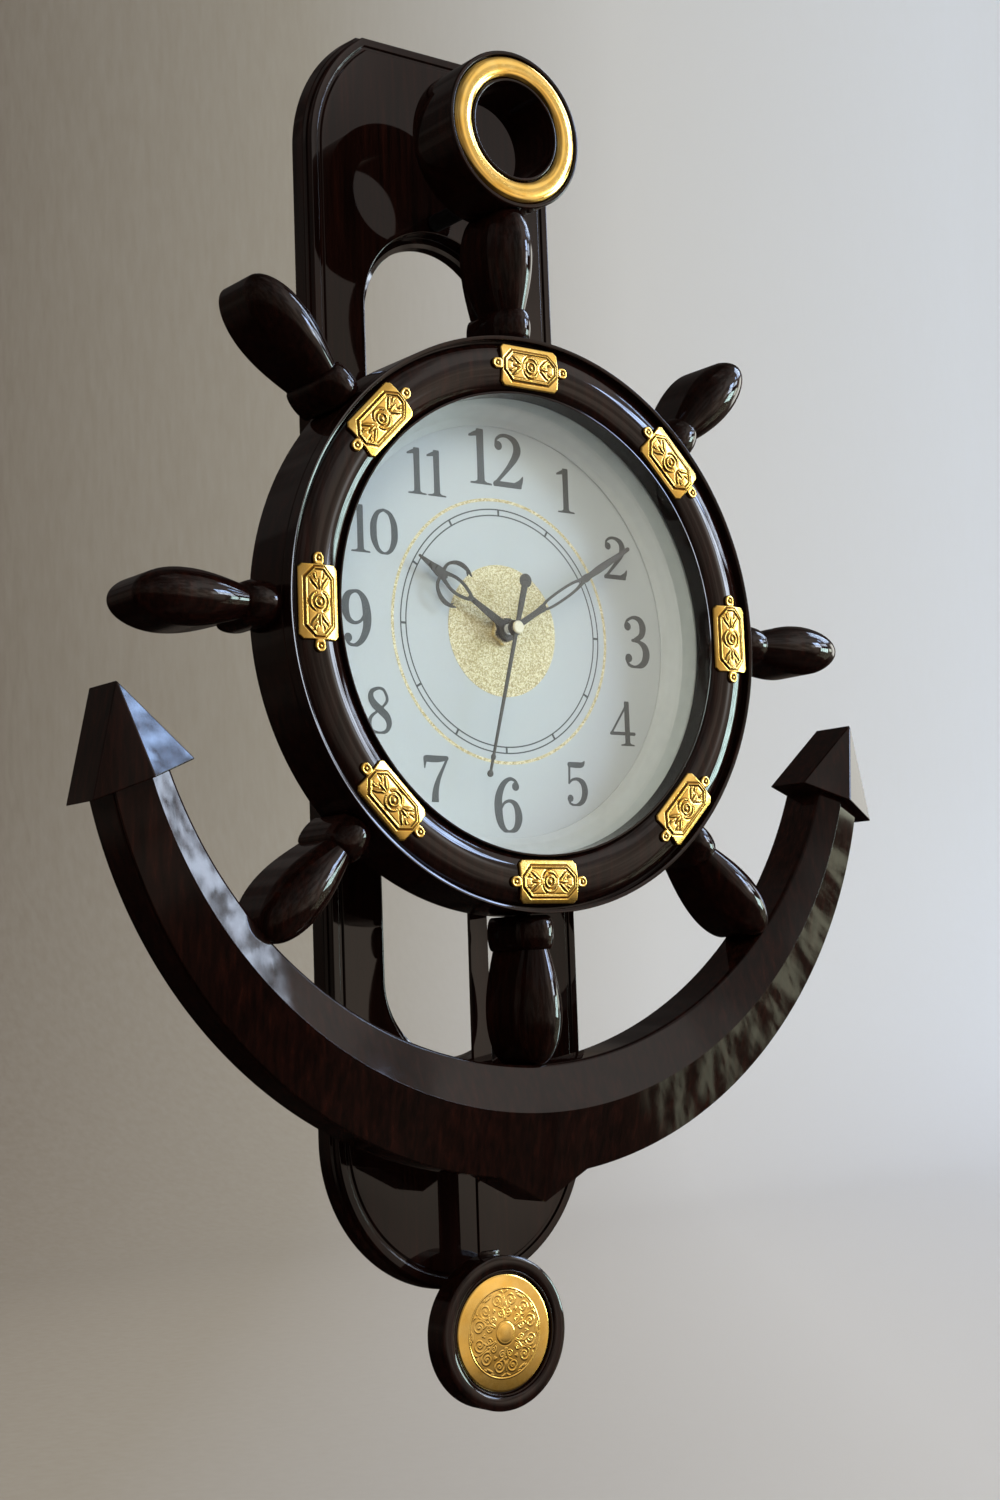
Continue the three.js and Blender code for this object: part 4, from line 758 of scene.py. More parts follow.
# %% Strokes of the figures
FIGURES = {
    "0": (60, [
        "30 98 4, 16 90 7.5, 7.5 70 12, 6 50 13, 7.5 30 12, 16 10 7.5, 30 2 4, 44 10 7.5, 52.5 30 12, 54 50 13, "
        "52.5 70 12, 44 90 7.5, 30 98 4",
    ]),
    "1": (40, [
        "21.5 0 14.5, 21.5 10 12.5, 21.5 50 11.7, 21.5 100 12.5",
        "24.5 96.5 6, 15 95 7, 2 90 3",
        "3 1.2 3, 21.5 2 4.5, 40 1.2 3",
        "12 3 3, 21.5 5 7, 31 3 3",
    ]),
    "2": (56, [
        "11.5 77.5 13, 11.7 77.3 13",
        "7 79 3, 8.5 89 3.5, 17 96.5 4.5, 29 97 5.5, 41 89 10, 45.5 74 13, 41 58 11, 29 38 7, 15 19 5, 4 5 4",
        "5 4.5 9, 25 4.5 9, 47 4.5 9",
        "44 6 11, 50 13 7, 54 23 1.5",
    ]),
    "3": (53, [
        "11.5 80 12, 11.7 79.8 12",
        "7 82 3, 12 92 3.5, 24 98 4.5, 36 93 9, 41 79 12, 37 63 9, 22 53.5 3.5",
        "20 53.5 3.5, 33 51 5, 43.5 41 11, 46 26 13, 40 10 10, 25 2 4.5, 12 6 4, 6.5 17 3",
        "11.5 19 12.5, 11.7 18.8 12.5",
    ]),
    "4": (56, [
        "40 0 11, 40 100 11",
        "41.5 99 3.5, 3 30 3.5",
        "2 28.5 5.5, 56 28.5 5.5",
        "26 1.2 3, 40 2 4.5, 54 1.2 3",
        "33 3 3, 40 5 7, 47 3 3",
    ]),
    "5": (52, [
        "11.5 95.5 4, 10 52 3.5",
        "12 94 9, 28 93.5 10, 40 94.5 8.5, 46 102 1.5",
        "10 53 3, 18 60 4, 30 61 6, 41 52 11, 45 33 13, 39 12 10, 25 2 4.5, 12 5 3.5, 6.5 16 3",
        "11.5 17.5 12.5, 11.7 17.3 12.5",
    ]),
    "6": (56, [
        "43 84.5 12, 43.2 84.3 12",
        "47.5 87 3, 42 95 3.5, 31 97.5 5, 18 87 8.5, 9 66 12, 7.5 42 13.5, 11 18 11, 20 4 6, 30 1.8 4, 42 9 9, "
        "47.5 28 12.5, 43 49 9, 32 57.5 4.5, 20 54 3.5, 12 42 3",
    ]),
    "7": (53, [
        "6 95.5 7.5, 10 94.5 11, 30 94 11, 50 96 7.5",
        "6.5 95 9, 5 86 5, 4 74 1.5",
        "51 95 4, 42 74 5, 32 50 8, 25.5 25 12, 23.5 -2 15",
    ]),
    "8": (54, [
        "43 83 4.5, 37 95 4.5, 27 98 4.5, 14 91 7.5, 11.5 77 11, 18 63 13.5, 30 51 14, 42 38 13, 46.5 22 10, 41 7 6, "
        "27 1.8 4, 12 7 5.5, 7 21 7.5, 11 36 5.5, 22 47 3.5, 36 60 3.5, 43.5 72 5, 43 83 4.5",
    ]),
}
FIGURES["9"] = (56, [
    ", ".join(f"{56 - u:g} {100 - v:g} {wide:g}" for u, v, wide in stroke(text)) for text in FIGURES["6"][1]
])

# %% Numbers
FIGURE_GAP, FIGURE_HEIGHT, TALL_HEIGHT, NUMBER_REACH = 0.05, 16.8, 20.5, 65.5
INK_SHARE, INK_SPREAD, CAP_LINE, FIGURE_GRID = 1.22, 0.012, 1.04, 0.011
STRETCH = dict.fromkeys(FIGURES, 1.28) | {"0": 1.14, "1": 1.2, "6": 1.14, "9": 1.14}
FIGURE_WIDTH = {figure: FIGURES[figure][0] / 100 * STRETCH[figure] for figure in FIGURES}


def figure_loops(figure):
    """The outlines of one figure, one unit high, drawn out sideways to its width in the photograph."""
    paths = [
        smooth_path([(u * STRETCH[figure], v, wide * INK_SHARE + INK_SPREAD) for u, v, wide in stroke(text, 100)])
        for text in FIGURES[figure][1]
    ]

    def field(u, v):
        return np.maximum(union_field(u, v, paths), np.maximum(-v, v - CAP_LINE))

    return traced(field, (-0.08, -0.02), (FIGURE_WIDTH[figure] + 0.08, CAP_LINE + 0.02), FIGURE_GRID)


loops_of = {figure: figure_loops(figure) for figure in FIGURES}
for hour in range(1, 13):
    height = FIGURE_HEIGHT if hour % 3 else TALL_HEIGHT
    angle = math.radians(30 * hour)
    middle_x, middle_z = NUMBER_REACH * math.sin(angle), NUMBER_REACH * math.cos(angle) + WHEEL_Z
    left = -(sum(FIGURE_WIDTH[figure] + FIGURE_GAP for figure in str(hour)) - FIGURE_GAP) / 2
    printed = []
    for figure in str(hour):
        def onto_dial(u, v, left=left):
            return middle_x + (u + left) * height, middle_z + (v - 0.5) * height

        printed.append(cut_sheet(loops_of[figure], PRINT_BACK_OFF, PRINT_OFF, onto_dial))
        left += FIGURE_WIDTH[figure] + FIGURE_GAP
    make(f"number_{hour}", *merged(*printed), ink, "frame", "dial")
print("numbers of", len(loops_of), "figures")

# %% [markdown]
# ## Cartouches
#
# Eight embossed plates sit on the bead at the handles, each bent over it and pinned through two small lugs. An
# eight-sided groove and a fine raised line frame a field with a rosette, two C-scrolls and a leaf spray at
# each end. A grid over the plate is lifted by the distance to these lines.

# %% Cartouche relief
PLATE_HALF_LENGTH, PLATE_HALF_RADIAL, PLATE_CORNER = 13.2, 8.1, 1.5
PLATE_THICKNESS, PLATE_EDGE, PLATE_SAG = 0.8, 0.25, 1.2
PLATE_BACK_OFF = BEAD_CREST_OFF + 0.3
OCTAGON_HALF_LENGTH, OCTAGON_HALF_RADIAL, OCTAGON_CORNER = 11.9, 5.6, 3.7
SPRAY_AND_SCROLL = [smooth_path(stroke(text), 8) for text in (
    "4.5 0 0.5, 6 0 1.15, 8 0 0.5",
    "4.6 0.9 0.5, 5.7 1.5 1, 7 2.7 1.05, 8.4 3.6 0.4",
    "8 1.4 0.4, 9 2 0.8, 9.9 1.8 0.35",
    "0 3.65 1.15, 1.4 3.35 1, 2.5 2.5 0.7, 3.1 1.5 0.4",
)]


def octagon_field(u, v, half_u, half_v, corner):
    a, b = np.abs(u), np.abs(v)
    return np.maximum(np.maximum(a - half_u, b - half_v), (a + b - half_u - half_v + corner) / math.sqrt(2))


def dome(distance, half):
    """One on a line, falling smoothly to nought at half its width."""
    share = np.clip(np.abs(distance) / half, 0, 1)
    return (1 - share**2) ** 1.5


def plate_relief(u, v):
    """Height over the bent plate, and the painted shade that darkens each place in the hollows."""
    line = octagon_field(u, v, OCTAGON_HALF_LENGTH, OCTAGON_HALF_RADIAL, OCTAGON_CORNER)
    groove, rim, inner_line = dome(line - 0.35, 0.45), dome(line + 0.3, 0.5), dome(line + 1.15, 0.35)
    radius = np.hypot(u, v)
    rosette, button = dome(radius - 1.95, 0.55), dome(radius, 1.25)
    ornament = union_field(np.abs(u), np.abs(v), SPRAY_AND_SCROLL)
    raised = np.sin(np.clip(-ornament / 0.45, 0, 1) * math.pi / 2)
    beside = np.clip(1 - np.abs(ornament - 0.22) / 0.34, 0, 1) * (line < -1.2)
    round_ring = np.clip(1 - np.abs(radius - 1.35) / 0.25, 0, 1) + np.clip(1 - np.abs(radius - 2.55) / 0.25, 0, 1)
    height = 0.40 * rim - 0.28 * groove - 0.1 * inner_line
    height += 0.44 * np.maximum(raised, np.maximum(rosette, button)) - 0.12 * beside - 0.1 * round_ring
    # Painted shade: darker in the groove, along the inner line, beside the ornament and in the rings round the rosette.
    recess_shade = np.clip(0.85 * groove + 0.3 * inner_line + 0.75 * beside * (1 - raised) + 0.6 * round_ring, 0, 0.9)
    return height, recess_shade


# %% Cartouche plate
def plate_mesh():
    """One cartouche, lying at the top of the wheel: x along the rim, z out from the dial's centre."""
    columns, rows = 150, 92
    us = np.linspace(-PLATE_HALF_LENGTH, PLATE_HALF_LENGTH, columns)
    vs = np.linspace(-PLATE_HALF_RADIAL, PLATE_HALF_RADIAL, rows)
    u, v = np.meshgrid(us, vs, indexing="ij")
    over = np.clip(np.abs(u) + np.abs(v) - (PLATE_HALF_LENGTH + PLATE_HALF_RADIAL - PLATE_CORNER), 0, None) / 2
    u, v = u - np.sign(u) * over, v - np.sign(v) * over
    height, recess_shade = plate_relief(u, v)
    edge = -octagon_field(u, v, PLATE_HALF_LENGTH, PLATE_HALF_RADIAL, PLATE_CORNER)
    shoulder = np.sqrt(np.clip(1 - (1 - np.clip(edge / 0.55, 0, 1)) ** 2, 0, 1))
    bend = PLATE_BACK_OFF - PLATE_SAG * (v / PLATE_HALF_RADIAL) ** 2
    top = bend + PLATE_EDGE + (PLATE_THICKNESS - PLATE_EDGE) * shoulder + height * shoulder
    points = []
    for layer in (top, bend):
        points += zip(u.ravel(), layer.ravel(), v.ravel() + BEAD_MIDDLE)
    count = columns * rows
    faces = []
    for column in range(columns - 1):
        for row in range(rows - 1):
            a = column * rows + row
            faces.append((a, a + rows, a + rows + 1, a + 1))
            faces.append((a + count, a + count + 1, a + count + rows + 1, a + count + rows))
    around = [column * rows for column in range(columns)]
    around += [(columns - 1) * rows + row for row in range(1, rows)]
    around += [column * rows + rows - 1 for column in range(columns - 2, -1, -1)]
    around += range(rows - 2, 0, -1)
    for a, b in zip(around, around[1:] + around[:1]):
        faces.append((a, b, b + count, a + count))
    return points, faces, np.concatenate([recess_shade.ravel(), np.zeros(count)])


# %% Cartouche lugs
LUG_REACH, LUG_SIDES = 15.3, 40
LUG_BANDS = [(2.1, 0.0), (2.1, 0.45), (1.95, 0.68), (1.6, 0.8), (1.05, 0.74), (0.85, 0.5), (0.7, 0.42), (0.62, 0.75),
             (0.4, 0.9), (0.0, 0.95)]
PIN_GROOVE_BANDS = (5, 6)


def lug_mesh(side):
    """A small round ear with a pin in it, joined to the plate by its root."""
    points, recess_shade = [], []
    for band, (radius, rise) in enumerate(LUG_BANDS):
        for x, z in circle(radius, LUG_SIDES):
            if x * side < 0:
                z = math.copysign(radius * (abs(z) / radius) ** 0.45, z)
                x *= 1.0 + 0.3 * radius / LUG_BANDS[0][0]
            points.append((side * LUG_REACH + x, PLATE_BACK_OFF + rise, BEAD_MIDDLE + z))
            # Painted shade in the groove round the pin.
            recess_shade.append(0.85 if band in PIN_GROOVE_BANDS else 0.0)
    return points, ring_faces(len(LUG_BANDS), LUG_SIDES) + [tuple(range(LUG_SIDES))], np.array(recess_shade)


COMPASS = ["n", "ne", "e", "se", "s", "sw", "w", "nw"]
plate_parts = [plate_mesh(), lug_mesh(-1), lug_mesh(1)]
plate_points, plate_faces = merged(*(part[:2] for part in plate_parts))
plate_recess_shade = np.concatenate([part[2] for part in plate_parts])
for place, point in enumerate(COMPASS):
    make(f"gold_plate_{point}", spun(plate_points, 45 * place), plate_faces, plate_gold, "frame", "gold",
         f"cartouche_{point}", recess_shade=plate_recess_shade, sharp=60)
print("cartouches:", len(plate_points), "points each")

# %% [markdown]
# ## Handles
#
# Each handle is a half-round turning: a bead at the rim, a neck, and a long bulb with a round end. Its back is
# flat and its side walls are straight up to a faint crease, where the dome begins.

# %% Handles
HANDLE_ROOT, HANDLE_NECK, HANDLE_BULB, HANDLE_TIP = 107.0, 119.5, 142.0, 161.3
BEAD_WIDE, NECK_WIDE, BULB_WIDE, HANDLE_EDGE_OFF = 8.0, 5.8, 9.9, 57.6
HANDLE_BACK_EDGE, HANDLE_WALL_EDGE = 0.5, 0.6
CREASE_ANGLE = math.radians(76)
DOME_STEPS = 28


def handle_ring(reach, half):
    """One section of a handle: flat back, straight walls and a dome that starts at the crease."""
    walls = (FRAME_BACK_OFF, FRAME_BACK_OFF + HANDLE_BACK_EDGE, HANDLE_EDGE_OFF - HANDLE_WALL_EDGE)
    ring = [(half * share, FRAME_BACK_OFF, reach) for share in (0.5, 0, -0.5)]
    ring += [(-half, out, reach) for out in walls]
    for step in range(DOME_STEPS + 1):
        angle = CREASE_ANGLE * (2 * step / DOME_STEPS - 1)
        rise = half * (math.cos(angle) - math.cos(CREASE_ANGLE)) / (1 - math.cos(CREASE_ANGLE))
        ring.append((half * math.sin(angle) / math.sin(CREASE_ANGLE), HANDLE_EDGE_OFF + rise, reach))
    return ring + [(half, out, reach) for out in reversed(walls)]


def handle_stations():
    """The handle's half width along its length: bead, neck and bulb."""
    stations = []
    for step in range(21):
        share = step / 20 * 0.97
        swell = math.sqrt(1 - (2 * share - 1) ** 2)
        reach = HANDLE_ROOT + (HANDLE_NECK - HANDLE_ROOT) * share
        stations.append((reach, NECK_WIDE + (BEAD_WIDE - NECK_WIDE) * swell))
    for step in range(25):
        share = step / 24
        stations.append((HANDLE_NECK + (HANDLE_BULB - HANDLE_NECK) * share,
                         NECK_WIDE + (BULB_WIDE - NECK_WIDE) * math.sin(share * math.pi / 2)))
    for step in range(1, 25):
        angle = math.radians(89) * step / 24
        stations.append((HANDLE_BULB + (HANDLE_TIP - HANDLE_BULB) * math.sin(angle), BULB_WIDE * math.cos(angle)))
    return stations


handle_points, handle_faces = loft([handle_ring(reach, half) for reach, half in handle_stations()])
for place, point in enumerate(COMPASS):
    make(f"turned_handle_{point}", spun(handle_points, 45 * place), handle_faces, lacquer, "frame", "lacquer",
         f"handle_{point}", sharp=40)
print("handles:", len(handle_points), "points each")

# %% [markdown]
# ## Anchor
#
# The anchor's ring is a deep turned boss with a convex gold ring let into its front. Its arms are one tapering
# arc with a ridge along the front, a groove behind the outer front edge and a pointed crown. The two flukes
# are arrowheads with a ridge.

# %% Boss and trim ring
BOSS_Z, BOSS_RADIUS, BOSS_BORE, BOSS_CREST_OFF, TRIM_SEAT_OFF = -1.6, 30.3, 18.5, 65.0, 62.6
TRIM_MIDDLE, TRIM_HALF, TRIM_BASE_OFF, TRIM_RISE = 24.2, 4.2, 63.6, 2.1
boss_profile = closed_rounded([
    (BOSS_BORE, FRAME_BACK_OFF, 0.5), (BOSS_RADIUS, FRAME_BACK_OFF, 0.8), (BOSS_RADIUS, BOSS_CREST_OFF, 1.7),
    (28.7, BOSS_CREST_OFF, 0.3), (28.7, TRIM_SEAT_OFF, 0), (19.7, TRIM_SEAT_OFF, 0),
    (19.7, BOSS_CREST_OFF - 0.1, 0.5), (BOSS_BORE, BOSS_CREST_OFF - 0.1, 0.55),
], steps=8)
make("boss_shell", *turned(boss_profile, z=BOSS_Z, sides=192), lacquer, "frame", "lacquer", "boss")

trim_profile = [(TRIM_MIDDLE - TRIM_HALF, TRIM_SEAT_OFF + 0.3), (TRIM_MIDDLE + TRIM_HALF, TRIM_SEAT_OFF + 0.3)]
for a, b in round_arc(0, 0, 1, 1, 16):
    trim_profile.append((TRIM_MIDDLE + TRIM_HALF * math.copysign(abs(a) ** 0.85, a),
                         TRIM_BASE_OFF + TRIM_RISE * b**0.8))
make("gold_ring", *turned(trim_profile, z=BOSS_Z, sides=192), mirror_gold, "frame", "gold", "boss_trim_ring")
print("boss:", len(boss_profile), "points round its section")

# %% Anchor arms
ARM_INNER, ARM_INNER_DROP, ARM_INNER_ANGLE = 159.0, 1.9, 71.0
ARM_OUTER, ARM_OUTER_DROP, ARM_OUTER_ANGLE = 173.5, 27.3, 78.5
ARM_EDGE_OFF, ARM_RISE_SHARE, ARM_RIDGE_SHARE = 59.1, 0.165, 0.425
CROWN_HALF_WIDTH, CROWN_RISE = 20.0, 9.1
GROOVE_DEPTH, GROOVE_FIRST, GROOVE_LAST = 1.0, 0.9, 2.4


def on_arc(radius, drop, degrees):
    return Vector((radius * math.sin(math.radians(degrees)), -drop - radius * math.cos(math.radians(degrees))))


crown_share = math.degrees(math.asin(CROWN_HALF_WIDTH / ARM_OUTER)) / ARM_OUTER_ANGLE
crown_side = on_arc(ARM_OUTER, ARM_OUTER_DROP, ARM_OUTER_ANGLE * crown_share)
crown_tip = on_arc(ARM_OUTER, ARM_OUTER_DROP, 0) - Vector((0, CROWN_RISE))


def arm_ring(share):
    """One section of the arms, from the inner back edge over the ridge to the outer back edge."""
    inner = on_arc(ARM_INNER, ARM_INNER_DROP, ARM_INNER_ANGLE * share)
    outer = on_arc(ARM_OUTER, ARM_OUTER_DROP, ARM_OUTER_ANGLE * share)
    plain_width = (outer - inner).length
    if abs(share) < crown_share:
        outer = crown_tip.lerp(Vector((math.copysign(crown_side.x, share), crown_side.y)), abs(share) / crown_share)
    width = (outer - inner).length
    outward = (outer - inner) / width
    edge = ARM_EDGE_OFF
    section = closed_rounded([
        (0, FRAME_BACK_OFF, 0.4), (0, edge, 2.0),
        (ARM_RIDGE_SHARE * plain_width, edge + ARM_RISE_SHARE * plain_width, 0.2),
        (width, edge, 0.4), (width, edge - GROOVE_FIRST, 0.2),
        (width - GROOVE_DEPTH, edge - GROOVE_FIRST - 0.3, 0.2), (width - GROOVE_DEPTH, edge - GROOVE_LAST + 0.3, 0.2),
        (width, edge - GROOVE_LAST, 0.3), (width, FRAME_BACK_OFF, 0.4),
    ])
    return [(inner.x + outward.x * far, out, inner.y + outward.y * far + WHEEL_Z) for far, out in section]


arm_shares = [crown_share * step / 6 for step in range(1, 6)]
arm_shares += [crown_share + (0.985 - crown_share) * step / 70 for step in range(71)]
arm_rings = [arm_ring(share) for share in [-share for share in reversed(arm_shares)] + [0.0] + arm_shares]
make("anchor_arms", *loft(arm_rings), lacquer, "frame", "lacquer", "anchor_arc", sharp=40)

# %% Flukes
FLUKE_EDGE_OFF, FLUKE_RIDGE_OFF = 59.4, 66.8
FLUKE_TIP = on_arc(ARM_INNER + 11.5, ARM_INNER_DROP, 80.58)
FLUKE_INNER = on_arc(ARM_INNER - 9.76, ARM_INNER_DROP, 69.4)
FLUKE_OUTER = on_arc(ARM_INNER + 30.71, ARM_INNER_DROP, 69.16)
FLUKE_FOOT = FLUKE_INNER.lerp(FLUKE_OUTER, 0.5)
fluke_corners = [
    (FLUKE_TIP, FLUKE_EDGE_OFF), (FLUKE_INNER, FLUKE_EDGE_OFF), (FLUKE_FOOT, FLUKE_RIDGE_OFF),
    (FLUKE_OUTER, FLUKE_EDGE_OFF),
]
fluke_faces = [(0, 1, 2, 3), (4, 5, 6), (4, 6, 7), (0, 1, 5, 4), (1, 2, 6, 5), (2, 3, 7, 6), (3, 0, 4, 7)]
for side, name in ((-1, "left"), (1, "right")):
    fluke_points = [(side * spot.x, FRAME_BACK_OFF, spot.y + WHEEL_Z) for spot, front in fluke_corners]
    fluke_points += [(side * spot.x, front, spot.y + WHEEL_Z) for spot, front in fluke_corners]
    make(f"fluke_shell_{name}", fluke_points, fluke_faces, lacquer, "frame", "lacquer", f"fluke_{name}", bevel=0.5)
print("anchor:", len(arm_rings), "sections")

# %% [markdown]
# ## Posts
#
# Turned plastic posts hold the boss and the wheel off the board.

# %% Posts
POST_FOOT_OFF, POST_HEAD_OFF, POST_X, POST_Z, TOP_POST_Z = 11.3, 39.7, 44, 60, -22.0
post_profile = rounded([
    (0, POST_FOOT_OFF, 0), (5.5, POST_FOOT_OFF, 0.3), (5.5, 14.3, 0.5), (3.6, 14.3, 0.8), (3.6, 36.7, 0.8),
    (5.5, 36.7, 0.5), (5.5, POST_HEAD_OFF, 0.3), (0, POST_HEAD_OFF, 0),
])
for row, up_sign in (("upper", 1), ("lower", -1)):
    for column, right_sign in (("left", -1), ("right", 1)):
        make(f"post_{row}_{column}", *turned(post_profile, right_sign * POST_X, up_sign * POST_Z + WHEEL_Z, 64),
             black_plastic, "frame", "black_plastic", f"wheel_standoff_{row}_{column}")
top_profile = rounded([
    (0, POST_FOOT_OFF, 0), (3.4, POST_FOOT_OFF, 0.4), (3.4, POST_HEAD_OFF, 0.4), (0, POST_HEAD_OFF, 0),
])
make("post_top", *turned(top_profile, 0, TOP_POST_Z, 64), black_plastic, "frame", "black_plastic", "top_standoff")
print("posts:", len(post_profile), "points along each")

# %% [markdown]
# ## Hands
#
# The hands are stamped from thin sheet. The hour hand has a slotted loop with two crescent hooks and a spear.
# The minute hand has a long slot and a slim blade. The second hand has a ball tail and a bead near its tip.

# %% Hands
HAND_THICKNESS, HAND_GRID = 0.5, 0.16


def hand(name, strokes, hub, hole, out, degrees, reach, body, node):
    """A hand of strokes, mirrored where one lies beside its middle line, turned to its place on the dial."""
    paths = [smooth_path(stroke(text), 8) for text in strokes]
    beside = [path for path in paths if path[0][0] != 0 or path[-1][0] != 0]

    def field(u, v):
        nearest = np.minimum(np.hypot(u, v) - hub, union_field(u, v, paths))
        if beside:
            nearest = np.minimum(nearest, union_field(-u, v, beside))
        return np.maximum(nearest, hole - np.hypot(u, v))

    loops = traced(field, (-12, -24), (12, reach + 1.5), HAND_GRID)
    points, faces = cut_sheet(loops, out, out + HAND_THICKNESS)
    return make(name, spun(points, degrees), faces, hand_metal, body, "hand_metal", node, bevel=0.12)


hand("hour_hand_sheet", [
    "0 0 3.6, 0 8 3.1, 0 16 2.2, 0 20.2 2",
    "0.01 19.4 1.3, 1.3 21.2 1.2, 2.5 25.2 1.15, 2.6 29 1.2, 1.5 33 1.5, 0.4 35.4 2.2",
    "0 33.8 2.6, 0 36.2 4, 0 40.5 2.5, 0 46.5 0.8",
    "0.8 35.3 1.5, 4.6 34.8 1.1, 7.2 32.4 1.5, 8.35 29.2 1.7, 8.1 26 1.2, 7.2 23.8 0.35",
    "8 26.4 1, 6.3 25.4 0.25",
], 4.2, 2.4, 48.2, 302, 47.3, "hours", "hour_hand")
hand("minute_hand_sheet", [
    "0 0 2.5, 0 12 2.3, 0 16.2 3",
    "0.01 16 1.3, 1.35 18.6 1, 1.8 26 1, 1.55 34 1.05, 0.4 40.2 1.5",
    "0 39.6 2.2, 0 41.6 3.1, 0 44 2.3, 0 50 2.9, 0 60 2.1, 0 66.6 1.6",
], 3.0, 1.6, 52.0, 58.4, 67.5, "minutes", "minute_hand")
hand("second_hand_sheet", [
    "0 -18.7 2.6, 0 -10 2.4, 0 0 1.7, 0 20 1.4, 0 40 1.1, 0 57.2 0.9",
    "0 -18.62 5.3, 0 -18.58 5.3",
    "0 49.6 1, 0 50.6 1.9, 0 51.6 1",
    "0 56 1.2, 0 56.9 2.4, 0 57 2.4",
], 2.2, -1, 53.4, 195, 58.3, "seconds", "second_hand")
cap_profile = rounded([(0, 54.2, 0), (2.45, 54.2, 0.05), (2.45, 54.75, 0.25), (1.9, 54.9, 0.2), (0, 54.9, 0)])
make("cap", *turned(cap_profile, sides=64), pale_gold, "seconds", "brass", "hub_cap")

# %% [markdown]
# The hands are held by a six-sided brass nut below them. Its corners are chamfered as a turned nut's are.

# %% Nut
NUT_HALF_FLATS, NUT_BORE, NUT_TURN = 5.2, 4.3, 8
nut_outline = circle(NUT_HALF_FLATS / math.cos(math.pi / 6), 6)
nut_points, nut_faces = cut_sheet([nut_outline, circle(NUT_BORE, 48)], 44.9, 47.0)
make("brass_nut", spun(nut_points, NUT_TURN), nut_faces, brass, "frame", "brass", "hex_nut", bevel=0.3)
print("nut:", round(2 * NUT_HALF_FLATS, 1), "mm over its flats")

# %% [markdown]
# ## Pendulum
#
# A flat lacquered rod hooks on the movement's hanger and ends in a round bob. The bob is a turned cup with a
# gold medallion: a mirror-bright border, a fine circle, and embossed scrolls round a plain button.

# %% Rod and bob
PIVOT_Z = WHEEL_Z - 28.0
BOB_Z = PIVOT_Z - 230.7
ROD_TOP, ROD_BOTTOM, ROD_HALF_TOP, ROD_HALF_BOTTOM, ROD_EYE = -12.2, -202.5, 3.8, 4.5, -16
TONGUE_HALF, TONGUE = 2, 6
rod_rows = []
for step in range(41):
    share = step / 40
    rod_rows.append((ROD_TOP + (ROD_BOTTOM - ROD_TOP) * share, ROD_HALF_TOP + (ROD_HALF_BOTTOM - ROD_HALF_TOP) * share))
rod_outline = [(-half, z) for z, half in rod_rows]
rod_outline += [(-TONGUE_HALF, ROD_BOTTOM), (-TONGUE_HALF, ROD_BOTTOM - TONGUE)]
rod_outline += [(TONGUE_HALF, ROD_BOTTOM - TONGUE), (TONGUE_HALF, ROD_BOTTOM)]
rod_outline += [(half, z) for z, half in reversed(rod_rows)]
rod_points, rod_faces = cut_sheet([rod_outline, circle(1.6, 32, 0, ROD_EYE)], 22.4, 24.0, lambda u, v: (u, v + PIVOT_Z))
make("rod", rod_points, rod_faces, lacquer, "pendulum", "lacquer", "pendulum_rod", bevel=0.35)

BOB_BACK_OFF, RIM_MIDDLE, RIM_HALF, RIM_BASE_OFF, RIM_RISE = 19.4, 25.4, 2.5, 31.7, 0.6
MEDALLION_SEAT_OFF = 30.2
rim = [(radius, out, 0) for radius, out in round_arc(RIM_MIDDLE, RIM_BASE_OFF, RIM_HALF, RIM_RISE, 24)]
bob_profile = rounded([
    (0, BOB_BACK_OFF, 0), (25.5, BOB_BACK_OFF, 1.6), (27.9, 21.8, 1.6), *rim, (22.8, 31.2, 0),
    (22.7, RIM_BASE_OFF, 0.2), (22.0, RIM_BASE_OFF, 0.2), (21.7, MEDALLION_SEAT_OFF, 0.1), (0, MEDALLION_SEAT_OFF, 0),
], steps=8)
make("bob_cup", *turned(bob_profile, z=BOB_Z, sides=192), lacquer, "pendulum", "lacquer", "bob_case")
print("rod:", len(rod_points), "points; bob:", len(bob_profile), "points along its section")

# %% [markdown]
# The scrolls repeat six times round the medallion, each time mirrored, so a place is folded into one half
# sector before its distance to the scroll lines is taken.

# %% Medallion scrollwork
MEDALLION_RADIUS, CIRCLE_RADIUS, BUTTON_RADIUS = 21.2, 16.2, 3.7
MEDALLION_OFF, SECTORS, MEDALLION_SIDES = 30.5, 6, 540


def volute(middle_reach, middle_degrees, radius, turns, start_degrees, sense, width):
    """A spiral that closes on its middle, in (x, z) with the sector's line straight up."""
    angle = math.radians(middle_degrees)
    x, z = middle_reach * math.sin(angle), middle_reach * math.cos(angle)
    count = int(26 * turns)
    path = []
    for step in range(count + 1):
        share = step / count
        spiral = math.radians(start_degrees) + sense * 2 * math.pi * turns * share
        reach = radius * (1 - 0.82 * share)
        path.append((x + reach * math.sin(spiral), z + reach * math.cos(spiral), width * (1 - 0.35 * share)))
    return path


SCROLLWORK = [volute(12.1, 15, 2.75, 1.6, -150, 1, 0.62), volute(7.7, 13, 1.35, 1.3, 200, -1, 0.5)]
SCROLLWORK += [smooth_path(stroke(text)) for text in (
    "0.25 5.4 0.5, 0.5 7.4 0.6, 1.4 9.3 0.6, 2.6 9.75 0.5",
    "0 10.2 0.3, 0 11.8 0.85, 0 13.6 0.3",
    "0.5 14.6 0.3, 1.1 15.2 0.7, 2 15.3 0.25",
    "4.3 8.4 0.5, 5 8.75 0.75, 5.2 9 0.3",
    "6.1 13.4 0.3, 7 13 0.8, 7.4 12.6 0.3",
    "5.6 14.5 0.25, 6.3 14.1 0.5, 6.9 14.2 0.2",
)]
SCROLLWORK += [stroke("0 8.9 0.8, 0 8.91 0.8"), stroke("3.13 11.6 0.9, 3.13 11.61 0.9")]


